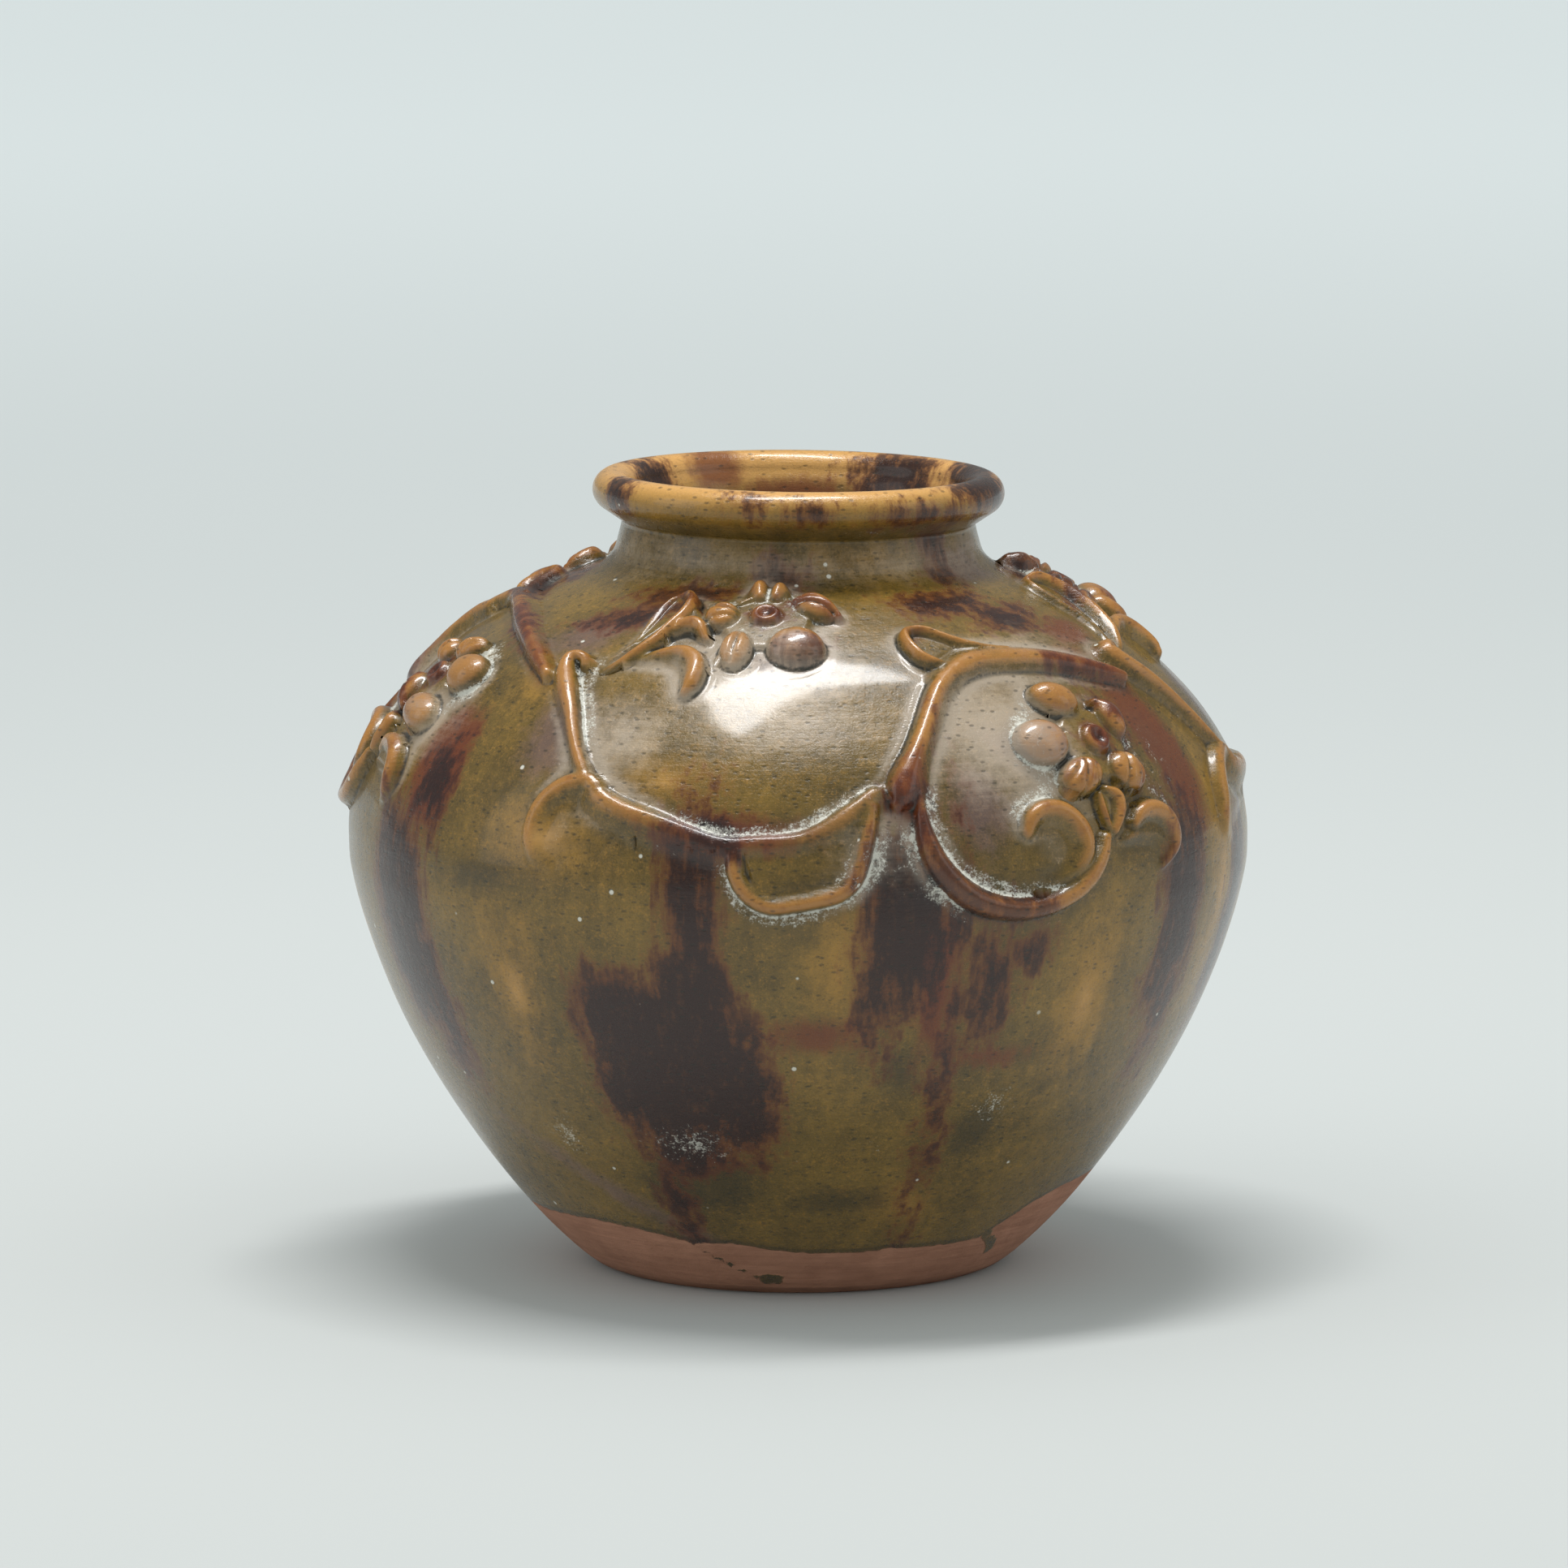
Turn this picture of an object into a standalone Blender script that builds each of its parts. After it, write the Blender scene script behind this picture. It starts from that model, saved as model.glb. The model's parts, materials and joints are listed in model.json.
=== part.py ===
"""A globular stoneware jar: a thrown body, a neck with a rolled lip, and a flowering vine in relief.

Run it with blender --background --python part.py, or from Blender's text editor. Lengths are in
metres, and +Z is up. Turn 0 faces -Y, and turn grows towards +X.

The vine is drawn flat, on a map that keeps shapes true, and is then wrapped on the body. Across the
map runs the turn round the jar. Up it runs the climb, which starts at the belly and grows by the slant
length over the radius. Both are shares of MAP_UNIT.
"""

from math import ceil, cos, pi, radians, sin

import bmesh
import bpy
import numpy as np
from mathutils import Vector

MM = 0.001

# Driving dimensions of the thrown body
FOOT_RADIUS = 54.5 * MM
BELLY_RADIUS = 120.8 * MM
BELLY_HEIGHT = 114.0 * MM
NECK_RADIUS = 47.4 * MM
SHOULDER_RISE = 86.5 * MM
WALL = 6.5 * MM
FLOOR = 9.0 * MM
FLOOR_CORNER = 14.5 * MM
FOOT_EDGE = 1.2 * MM

# Driving dimensions of the neck and its lip
NECK_WALL = 5.9 * MM
LIP_OVERHANG = 7.9 * MM
LIP_DEPTH = 10.5 * MM
LIP_STAND = 13.4 * MM
LIP_UNDERCUT = 5.0 * MM
THROAT_FLARE = 5.0 * MM
MOUTH_FLARE = 3.5 * MM
# The neck joins the body at this share of the shoulder's rise
NECK_JOINT_SHARE = 0.8786
# The roll of the lip starts below its outer side and ends inside the mouth, as shares of half a turn
LIP_START_SHARE = -0.25
LIP_END_SHARE = 0.875

# Sizes that follow from these
NECK_HEIGHT = BELLY_HEIGHT + SHOULDER_RISE
NECK_JOINT_HEIGHT = BELLY_HEIGHT + NECK_JOINT_SHARE * SHOULDER_RISE
FLOOR_RADIUS = FOOT_RADIUS - FLOOR_CORNER
THROAT_RADIUS = NECK_RADIUS - NECK_WALL
MOUTH_RADIUS = THROAT_RADIUS + MOUTH_FLARE
LIP_RADIUS = NECK_RADIUS + LIP_OVERHANG
LIP_HEIGHT = NECK_HEIGHT + LIP_STAND

# Clay laid on clay keeps this gap, the slip between the two
SLIP_GAP = 0.32 * MM

# Facets round the jar, rows between two points of the wall, and stations between two points of a stem
ROUND_STEPS = 44
LIP_STEPS = 9
MAP_ROWS = 800
COURSE_STEPS = 2

# One unit of the relief map, an angle
MAP_UNIT = radians(1.0)

# The body's wall, as (height share, radius share): from the foot up to the belly, and from the belly up
# to the neck
LOWER_WALL_SHARES = (
    (0.035, 0.083), (0.105, 0.210), (0.193, 0.344), (0.307, 0.493), (0.439, 0.644), (0.570, 0.768),
    (0.702, 0.869), (0.833, 0.947), (0.939, 0.991), (1.0, 1.0),
)
UPPER_WALL_SHARES = (
    (0.092, 0.995), (0.208, 0.965), (0.324, 0.906), (0.439, 0.815), (0.555, 0.685), (0.647, 0.559),
    (0.728, 0.411), (0.798, 0.260), (0.832, 0.172), (0.861, 0.087), (0.902, 0.034), (0.960, 0.011),
    (1.0, 0.0),
)

# Each repeat of the vine was placed by eye. The first half of a repeat carries the upper flower, the
# second half the lower one: their turns and lifts, the extra rise of the arch, and the turns of the two
# flowers
UPPER_TURN_SHARES = (0.0, 105.0, 240.0)
UPPER_LIFT_SHARES = (0.0, -1.0, 1.0)
LOWER_TURN_SHARES = (0.0, 120.0, 240.0)
LOWER_LIFT_SHARES = (0.0, 2.0, 6.5)
ARCH_RISE_SHARES = (0.0, 1.5, 4.2)
REPEAT_SHARE = 120.0
UPPER_FLOWER_TURN_SHARES = (0.0, -3.0, 3.0)
LOWER_FLOWER_TURN_SHARES = (0.0, -12.0, 195.0)
LOWER_FLOWER_SHIFT_SHARES = ((0.0, 0.0), (0.5, 0.3), (2.2, 1.3))

# The trough ties the two halves of a repeat: (across, blend) says how much it follows the lower half
TROUGH_TIE_SHARES = ((-24.0, 0.0), (-9.5, 0.75), (9.0, 1.0))

# Stems: points (across, up, width) on the map. The arch also has a blend, which runs from this repeat's
# lower half to the next repeat's upper half
HOOK_RISE = 4.4 * MM
HOOK_SHARES = (
    (-41.7, 34.3, 4.0), (-40.6, 32.9, 4.4), (-38.6, 30.0, 3.1), (-36.8, 27.5, 2.6), (-35.0, 24.9, 2.4),
    (-33.4, 22.2, 2.2), (-31.8, 19.5, 2.1), (-30.2, 17.1, 1.9),
)
TROUGH_RISE = 3.1 * MM
TROUGH_SHARES = (
    (-29.5, 15.9, 1.9), (-28.0, 14.0, 3.0), (-25.4, 11.8, 4.1), (-22.0, 10.2, 3.9), (-18.0, 9.2, 3.2),
    (-14.0, 8.5, 2.4), (-10.0, 8.1, 1.8), (-5.0, 8.4, 1.5), (0.0, 9.1, 1.5), (4.0, 10.5, 1.7),
    (7.0, 12.3, 1.9), (9.2, 14.2, 1.5),
)
ARCH_RISE = 3.5 * MM
ARCH_SHARES = (
    (23.5, 32.7, 3.0, 0.0), (25.4, 34.1, 3.4, 0.0), (28.0, 35.6, 4.0, 0.0), (31.0, 36.8, 4.5, 0.0),
    (34.8, 37.2, 4.5, 0.0), (39.2, 36.8, 4.3, 0.0), (44.0, 36.0, 4.1, 0.0), (52.0, 34.8, 3.8, 0.2),
    (60.5, 33.1, 3.4, 0.45), (68.8, 31.4, 2.9, 0.72), (75.6, 30.0, 1.9, 1.0),
)
BULB_RISE = 4.0 * MM
BULB_SHARES = (
    (22.5, 31.5, 3.0), (20.7, 28.4, 3.1), (19.1, 25.3, 3.0), (17.5, 22.4, 2.9), (16.0, 19.7, 2.8),
    (14.9, 17.7, 3.3), (14.0, 15.7, 4.0), (13.1, 13.7, 3.6), (12.3, 12.1, 2.0),
)
LOOP_RISE = 3.9 * MM
LOOP_SHARES = (
    (15.5, 12.7, 0.9), (15.5, 10.5, 1.5), (15.9, 8.0, 2.1), (17.1, 5.2, 2.4), (19.1, 2.7, 2.5),
    (21.9, 0.7, 2.4), (25.2, -0.6, 2.2), (28.6, -1.0, 2.0), (32.0, -0.7, 2.0), (35.3, 0.3, 2.1),
    (38.2, 2.1, 2.1), (40.3, 4.5, 1.9), (41.2, 6.2, 1.1),
)

# A stem's section, as (across share, height share), its rise at its two tips, and how fast it swells
# from them
STEM_SECTION_SHARES = ((-1.0, 0.0), (-0.72, 0.72), (0.0, 1.0), (0.72, 0.72), (1.0, 0.0))
STEM_TIP_SHARES = (0.62, 0.5)
STEM_SWELL_SHARE = 6.0

# Leaves: outlines (across, up, rim share) on the map, the rim being the raised edge. The last point is
# the middle of the leaf's dish, with its height share
LOBE_RISE = 3.3 * MM
LOBE_SHARES = (
    (-30.9, 15.6, 0.9), (-33.2, 14.9, 1.0), (-35.3, 13.2, 1.0), (-36.5, 10.8, 1.0), (-36.7, 8.2, 0.95),
    (-35.9, 6.0, 0.8), (-34.0, 4.9, 0.45), (-31.0, 4.9, 0.3), (-27.8, 5.6, 0.3), (-24.8, 6.6, 0.35),
    (-23.4, 7.6, 0.4), (-25.6, 9.0, 0.55), (-28.0, 10.8, 0.7), (-29.7, 13.2, 0.85),
    (-31.8, 9.2, 0.42),
)
HANGING_RISE = 3.5 * MM
HANGING_SHARES = (
    (-7.9, 6.6, 0.7), (-8.8, 5.4, 0.9), (-8.1, 3.1, 0.95), (-6.3, 0.8, 0.95), (-4.0, -0.7, 1.0),
    (-1.0, -0.5, 1.0), (2.0, 0.1, 1.0), (5.0, 0.8, 1.0), (7.2, 2.4, 1.0), (8.3, 4.7, 1.0),
    (8.8, 7.3, 0.9), (9.3, 9.8, 0.8), (8.5, 11.4, 0.8), (5.0, 9.4, 0.8), (0.6, 7.8, 0.8),
    (-4.0, 7.0, 0.75),
    (1.6, 4.4, 0.62),
)
BLADE_RISE = 4.2 * MM
BLADE_SHARES = (
    (-28.8, 60.4, 0.8), (-26.6, 59.5, 1.0), (-25.4, 57.1, 1.0), (-25.2, 53.9, 1.0), (-26.0, 50.3, 1.0),
    (-27.5, 46.5, 1.0), (-29.7, 42.7, 0.9), (-32.3, 39.1, 0.8), (-34.6, 36.4, 0.5), (-36.0, 37.0, 0.4),
    (-34.6, 40.0, 0.5), (-33.2, 43.6, 0.5), (-32.8, 47.6, 0.45), (-33.1, 51.6, 0.45),
    (-32.8, 55.5, 0.45), (-31.2, 58.8, 0.6),
    (-29.2, 47.2, 0.3),
)
UPPER_SEPAL_RISE = 4.2 * MM
UPPER_SEPAL_SHARES = (
    (-25.7, 44.7, 0.6), (-25.1, 47.6, 0.8), (-23.6, 49.6, 0.9), (-21.6, 49.8, 1.0), (-20.0, 48.5, 1.0),
    (-18.7, 46.3, 0.9), (-17.3, 44.1, 0.6), (-18.4, 43.6, 0.6), (-20.4, 44.9, 0.8), (-22.6, 44.7, 0.7),
    (-24.2, 44.0, 0.6),
    (-22.0, 47.6, 1.0),
)
UPPER_COMMA_RISE = 4.0 * MM
UPPER_COMMA_SHARES = (
    (-28.4, 40.0, 0.6), (-25.0, 41.3, 0.9), (-21.6, 41.6, 1.0), (-18.7, 40.6, 1.0), (-16.5, 38.3, 1.0),
    (-15.6, 35.3, 1.0), (-15.7, 32.0, 1.0), (-17.1, 29.9, 0.9), (-18.8, 30.7, 0.9), (-19.4, 33.3, 0.9),
    (-20.8, 35.5, 0.8), (-23.6, 36.3, 0.6), (-26.8, 36.2, 0.4), (-29.6, 37.4, 0.35),
    (-18.8, 38.3, 0.72),
)
HOOK_LEAF_RISE = 3.7 * MM
HOOK_LEAF_SHARES = (
    (24.3, 36.5, 0.7), (21.9, 36.2, 0.9), (20.4, 37.8, 1.0), (19.8, 40.5, 1.0), (20.0, 43.5, 1.0),
    (20.9, 45.6, 1.0), (22.4, 46.9, 0.95), (24.9, 46.9, 0.9), (27.4, 45.5, 0.85), (29.5, 43.1, 0.8),
    (32.0, 41.1, 0.7), (31.3, 40.2, 0.6), (28.6, 39.0, 0.35), (26.3, 37.7, 0.4),
    (24.5, 41.6, 0.25),
)
LEFT_COMMA_RISE = 3.7 * MM
LEFT_COMMA_SHARES = (
    (29.5, 8.2, 0.75), (29.9, 10.2, 0.95), (31.6, 11.8, 1.0), (34.0, 12.1, 1.0), (36.4, 11.1, 1.0),
    (38.2, 9.1, 1.0), (39.0, 6.7, 1.0), (38.1, 4.5, 1.0), (36.3, 3.2, 0.9), (33.9, 2.2, 0.7),
    (31.4, 2.4, 0.45), (29.4, 3.9, 0.35), (28.8, 6.1, 0.4),
    (33.7, 7.0, 0.4),
)
LOOP_SEPAL_RISE = 4.1 * MM
LOOP_SEPAL_SHARES = (
    (42.2, 7.1, 0.6), (41.4, 7.9, 0.8), (41.2, 9.6, 0.9), (40.9, 11.4, 0.9), (42.3, 12.7, 0.9),
    (44.0, 12.5, 0.9), (45.3, 11.1, 0.8), (44.4, 9.2, 0.9), (43.2, 7.6, 0.8),
    (42.9, 10.3, 1.0),
)
RIGHT_COMMA_RISE = 4.2 * MM
RIGHT_COMMA_SHARES = (
    (46.0, 8.3, 0.7), (46.3, 9.8, 0.9), (48.2, 10.5, 1.0), (51.0, 10.3, 1.0), (53.4, 9.0, 1.0),
    (54.8, 6.9, 1.0), (54.6, 4.6, 1.0), (53.2, 2.7, 0.9), (51.6, 1.9, 0.7), (50.9, 3.4, 0.8),
    (49.9, 4.6, 0.8), (47.4, 5.0, 0.7), (44.8, 5.1, 0.6), (42.9, 5.8, 0.5), (44.4, 7.0, 0.6),
    (51.5, 7.2, 0.72),
)

# Rings of a leaf, as (way to the centre share, height share): a blunt edge and a raised rim, then the
# dish's ring
BACK_RING_SHARE = 0.5
LEAF_RING_SHARES = ((0.04, 0.62), (0.2, 1.0))
LEAF_DISH_RING_SHARE = 0.5

# Flowers: a pad, five petals (across, up, half length, half width, tilt) from the boss's centre, and
# the boss
PAD_RISE = 1.3 * MM
PAD_SINK_SHARE = 0.5
PAD_RING_SHARES = ((0.05, 0.9), (0.5, 1.0))
PAD_STEPS = 16
PETAL_RISE = 4.9 * MM
PETAL_STEPS = 10
PETAL_RING_SHARES = ((0.06, 0.52), (0.42, 0.94))
UPPER_BOSS_SHARES = (-7.0, 51.9)
UPPER_BOSS_RADIUS_SHARE = 3.7
UPPER_PAD_RADIUS_SHARE = 10.4
UPPER_PETAL_SHARES = (
    (-0.3, 10.4, 5.2, 4.6, 0.0), (10.6, 3.7, 5.4, 4.0, -35.0), (6.5, -9.7, 5.3, 4.9, 0.0),
    (-4.6, -10.5, 2.9, 4.8, 0.0), (-9.6, -0.1, 3.8, 4.4, 0.0),
)
LOWER_BOSS_SHARES = (44.8, 19.7)
LOWER_BOSS_RADIUS_SHARE = 2.5
LOWER_PAD_RADIUS_SHARE = 6.1
LOWER_PETAL_SHARES = (
    (-3.2, 7.5, 4.2, 2.9, -25.0), (-9.3, 0.6, 4.3, 3.6, 0.0), (-5.0, -4.9, 3.7, 2.4, 15.0),
    (3.2, -5.1, 3.2, 2.7, -30.0), (5.4, 2.9, 2.3, 3.4, 0.0),
)
BOSS_RISE = 4.6 * MM
BOSS_STEPS = 10
BOSS_RING_SHARES = ((0.06, 0.6), (0.3, 1.0), (0.5, 0.96), (0.72, 0.42))
BOSS_PIT_SHARE = 0.35

# Surface colours, linear
GLAZE_OLIVE = (0.155, 0.102, 0.034)
GLAZE_AMBER = (0.332, 0.162, 0.042)
GLAZE_BROWN = (0.128, 0.052, 0.022)
GLAZE_ROUGHNESS = 0.18


def clear_scene():
    """Removes what the startup scene holds."""
    for obj in list(bpy.data.objects):
        bpy.data.objects.remove(obj, do_unlink=True)


def surface(name, color, roughness):
    """A Principled material in one flat colour."""
    material = bpy.data.materials.new(name)
    material.use_nodes = True
    shader = material.node_tree.nodes["Principled BSDF"]
    shader.inputs["Base Color"].default_value = (*color, 1.0)
    shader.inputs["Roughness"].default_value = roughness
    shader.inputs["Metallic"].default_value = 0.0
    return material


def add_object(name, mesh, color):
    """Puts a mesh in the scene, shaded smooth, with a material of its own."""
    for polygon in mesh.polygons:
        polygon.use_smooth = True
    mesh.materials.append(surface(name + "_glaze", color, GLAZE_ROUGHNESS))
    obj = bpy.data.objects.new(name, mesh)
    bpy.context.scene.collection.objects.link(obj)
    return obj


def finish_mesh(name, shape):
    """Turns a bmesh into a mesh whose faces look outwards."""
    bmesh.ops.recalc_face_normals(shape, faces=shape.faces)
    mesh = bpy.data.meshes.new(name)
    shape.to_mesh(mesh)
    shape.free()
    return mesh


def smooth_course(points, steps):
    """A Catmull-Rom curve through points of any dimension, with this many spans between each two."""
    points = np.array(points, float)
    padded = np.vstack([2 * points[0] - points[1], points, 2 * points[-1] - points[-2]])
    course = []
    for before, start, end, after in zip(padded, padded[1:], padded[2:], padded[3:]):
        slope, far_slope = (end - before) / 2, (after - start) / 2
        for share in np.arange(steps) / steps:
            squared, cubed = share**2, share**3
            point = start * (2 * cubed - 3 * squared + 1) + end * (3 * squared - 2 * cubed)
            course.append(point + slope * (cubed - 2 * squared + share) + far_slope * (cubed - squared))
    return np.vstack([course, points[-1]])


def wall_points():
    """The body's outer wall from the foot to the top of the neck, as (radius, height)."""
    lower = [(FOOT_RADIUS, 0.0)]
    for up, out in LOWER_WALL_SHARES:
        lower.append((FOOT_RADIUS + out * (BELLY_RADIUS - FOOT_RADIUS), up * BELLY_HEIGHT))
    upper = []
    for up, out in UPPER_WALL_SHARES:
        radius = NECK_RADIUS + out * (BELLY_RADIUS - NECK_RADIUS)
        upper.append((radius, BELLY_HEIGHT + up * (NECK_HEIGHT - BELLY_HEIGHT)))
    return lower + upper


class JarMap:
    """The flat map of the body's wall, on which the relief is drawn."""

    def __init__(self):
        fine = smooth_course(wall_points(), ceil(MAP_ROWS / len(wall_points())))
        self.radius, self.height = fine[:, 0], fine[:, 1]
        steps = np.hypot(np.diff(self.radius), np.diff(self.height))
        slant = np.concatenate([[0.0], np.cumsum(steps)])
        middle = (self.radius[1:] + self.radius[:-1]) / 2
        climb = np.concatenate([[0.0], np.cumsum(steps / middle)])
        self.climb = climb - np.interp(BELLY_HEIGHT, self.height, climb)
        self.out = np.gradient(self.height, slant)
        self.up = -np.gradient(self.radius, slant)

    def wrap(self, across, up, lift):
        """The point over the wall at this place on the map, lifted along the wall's normal."""
        climb = up * MAP_UNIT
        out = np.interp(climb, self.climb, self.out)
        rise = np.interp(climb, self.climb, self.up)
        radius = np.interp(climb, self.climb, self.radius) + lift * out / np.hypot(out, rise)
        height = np.interp(climb, self.climb, self.height) + lift * rise / np.hypot(out, rise)
        turn = across * MAP_UNIT
        return Vector((radius * sin(turn), -radius * cos(turn), height))


def loft(rows):
    """A bmesh of rings of points bridged in order, and the rings."""
    shape = bmesh.new()
    rings = [[shape.verts.new(point) for point in row] for row in rows]
    for ring, following in zip(rings, rings[1:]):
        for index, vertex in enumerate(ring):
            beside = (index + 1) % len(ring)
            shape.faces.new((vertex, ring[beside], following[beside], following[index]))
    return shape, rings


def add_revolved(name, profile, color):
    """A turned piece: a Screw modifier on a profile of (radius, height) that runs down the outer side."""
    mesh = bpy.data.meshes.new(name)
    points = [(radius, 0.0, height) for radius, height in profile]
    edges = [(index, index + 1) for index in range(len(points) - 1)]
    mesh.from_pydata(points, edges, [])
    obj = add_object(name, mesh, color)
    screw = obj.modifiers.new("turned on the wheel", "SCREW")
    screw.steps = ROUND_STEPS
    screw.render_steps = ROUND_STEPS
    screw.use_merge_vertices = True
    screw.merge_threshold = SLIP_GAP / 10
    screw.use_smooth_shade = True
    return obj


def make_body(jar_map):
    """The thrown pot: foot, belly and shoulder, open at the neck joint, with an even wall."""
    outer = [point for point in wall_points() if point[1] < NECK_JOINT_HEIGHT]
    joint_radius = np.interp(NECK_JOINT_HEIGHT, jar_map.height, jar_map.radius)
    outer.append((joint_radius, NECK_JOINT_HEIGHT))
    outer[0] = (FOOT_RADIUS - FOOT_EDGE, 0.0)
    outer.insert(1, (FOOT_RADIUS, FOOT_EDGE))
    inner = [(0.0, FLOOR), (FLOOR_RADIUS, FLOOR)]
    inner_heights = [height for _, height in outer if FLOOR + WALL < height < NECK_JOINT_HEIGHT - WALL]
    for height in inner_heights[::2]:
        out = np.interp(height, jar_map.height, jar_map.out)
        rise = np.interp(height, jar_map.height, jar_map.up)
        radius = np.interp(height, jar_map.height, jar_map.radius)
        inner.append((radius - WALL * out, height - WALL * rise))
    inner.append((joint_radius - WALL, NECK_JOINT_HEIGHT - WALL))
    inner.append((joint_radius - WALL, NECK_JOINT_HEIGHT))
    profile = inner + outer[::-1] + [(0.0, 0.0)]
    return add_revolved("jar_body", profile, GLAZE_OLIVE)


def make_neck(jar_map):
    """The collar that carries the rolled lip, set on the shoulder's opening."""
    foot = NECK_JOINT_HEIGHT + SLIP_GAP
    foot_radius = np.interp(foot, jar_map.height, jar_map.radius)
    outside = [(foot_radius, foot)]
    outside += [point for point in wall_points() if foot < point[1]]
    lip_middle = LIP_HEIGHT - LIP_DEPTH / 2
    roll = LIP_DEPTH / 2
    roll_centre = LIP_RADIUS - roll
    lip = []
    for step in range(LIP_STEPS + 1):
        turn = pi * (LIP_START_SHARE + step * (LIP_END_SHARE - LIP_START_SHARE) / LIP_STEPS)
        inward = (roll_centre - MOUTH_RADIUS) / roll if cos(turn) < 0 else 1.0
        lip.append((roll_centre + roll * cos(turn) * inward, lip_middle + roll * sin(turn)))
    bore = foot_radius - WALL
    inside = [
        ((MOUTH_RADIUS + THROAT_RADIUS) / 2, lip_middle - roll),
        (THROAT_RADIUS, lip_middle - roll - LIP_UNDERCUT),
        (THROAT_RADIUS, foot + THROAT_FLARE),
        (bore, foot),
    ]
    profile = inside[::-1] + lip[::-1] + outside[::-1] + [(bore, foot)]
    return add_revolved("neck_and_lip", profile, GLAZE_AMBER)


class Repeat:
    """One repeat of the vine: where its two halves lie on the map, and how its pieces are named."""

    def __init__(self, index):
        following = (index + 1) % len(UPPER_TURN_SHARES)
        full_turn = REPEAT_SHARE * len(UPPER_TURN_SHARES) if following == 0 else 0.0
        self.index = index
        self.upper = np.array((UPPER_TURN_SHARES[index], UPPER_LIFT_SHARES[index]))
        self.lower = np.array((LOWER_TURN_SHARES[index], LOWER_LIFT_SHARES[index]))
        next_turn = UPPER_TURN_SHARES[following] + full_turn - REPEAT_SHARE
        self.following = np.array((next_turn, UPPER_LIFT_SHARES[following]))
        self.arch_rise = ARCH_RISE_SHARES[index]

    def name(self, piece):
        return f"{piece}_{self.index + 1}"

    def place(self, points, half, rise=0.0):
        """Moves (across, up, ...) points from the drawing to one half of this repeat."""
        placed = np.array(points, float)
        placed[:, :2] += half + (0.0, rise)
        return placed

    def place_trough(self, points):
        """Moves (across, up, ...) points that tie the two halves of this repeat."""
        placed = np.array(points, float)
        across, blend = np.array(TROUGH_TIE_SHARES).T
        for point in placed:
            share = np.interp(point[0], across, blend)
            point[:2] += self.upper * (1 - share) + self.lower * share
        return placed

    def place_arch(self, points):
        """Moves the arch, which ties this repeat's lower half to the next repeat's upper half."""
        placed = np.array([point[:3] for point in points], float)
        for row, point in enumerate(points):
            along = row / (len(points) - 1)
            placed[row, :2] += self.lower * (1 - point[3]) + self.following * point[3]
            placed[row, 1] += self.arch_rise * min(1.0, sin(pi * along) + along / 2)
        return placed


def make_stem(jar_map, name, points, rise, color):
    """A rolled coil of clay: its section follows a smooth course and tapers to low, blunt tips."""
    course = smooth_course(points, COURSE_STEPS)
    along = np.linspace(0.0, 1.0, len(course))
    rows = []
    for index, (across, up, width) in enumerate(course):
        ahead = course[min(index + 1, len(course) - 1)] - course[max(index - 1, 0)]
        side = np.array((-ahead[1], ahead[0])) / np.hypot(ahead[0], ahead[1])
        start = STEM_TIP_SHARES[0] + STEM_SWELL_SHARE * along[index]
        end = STEM_TIP_SHARES[1] + STEM_SWELL_SHARE * (1 - along[index])
        height = rise * min(1.0, start, end)
        row = []
        for out, lift in STEM_SECTION_SHARES:
            x = across - side[0] * out * width / 2
            y = up - side[1] * out * width / 2
            row.append(jar_map.wrap(x, y, SLIP_GAP + height * lift))
        rows.append(row)
    shape, rings = loft(rows)
    shape.faces.new(rings[0])
    shape.faces.new(rings[-1])
    return add_object(name, finish_mesh(name, shape), color)


def back_rings(outline, centre):
    """A wide pad gets a ring in its back, so that the facets there follow the wall without touching it."""
    reach = max(np.hypot(x - centre[0], y - centre[1]) for x, y, _ in outline)
    sag = BELLY_RADIUS * (1 - cos(reach * MAP_UNIT / 2))
    return ((BACK_RING_SHARE, 0.0),) if sag > SLIP_GAP / 2 else ()


def pad_shape(jar_map, outline, centre, rings, dish, base_lift, rise):
    """A pressed pad: rings step in from its outline to its centre, front and back, and follow the wall."""
    rows = []
    for inward, lift in back_rings(outline, centre) + ((0.0, 0.0),) + tuple(rings):
        row = []
        for x, y, rim in outline:
            across = x + (centre[0] - x) * inward
            up = y + (centre[1] - y) * inward
            row.append(jar_map.wrap(across, up, base_lift + rise * lift * rim))
        rows.append(row)
    shape, rings = loft(rows)
    for ring, lift in ((rings[0], 0.0), (rings[-1], rise * dish)):
        middle = shape.verts.new(jar_map.wrap(centre[0], centre[1], base_lift + lift))
        for index, vertex in enumerate(ring):
            shape.faces.new((vertex, ring[(index + 1) % len(ring)], middle))
    return shape


def make_leaf(jar_map, name, points, rise, color):
    """A pressed leaf with a raised rim round a dish, whose middle is the last point."""
    outline = points[:-1]
    centre = points[-1, :2]
    dish = points[-1, 2]
    rings = LEAF_RING_SHARES + ((LEAF_DISH_RING_SHARE, dish),)
    shape = pad_shape(jar_map, outline, centre, rings, dish, SLIP_GAP, rise)
    return add_object(name, finish_mesh(name, shape), color)


def ellipse(centre, half_long, half_wide, tilt, steps):
    """The outline of a petal on the map."""
    points = []
    for step in range(steps):
        turn = 2 * pi * step / steps
        x, y = half_long * cos(turn), half_wide * sin(turn)
        points.append((
            centre[0] + x * cos(tilt) - y * sin(tilt),
            centre[1] + x * sin(tilt) + y * cos(tilt),
            1.0,
        ))
    return points


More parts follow.
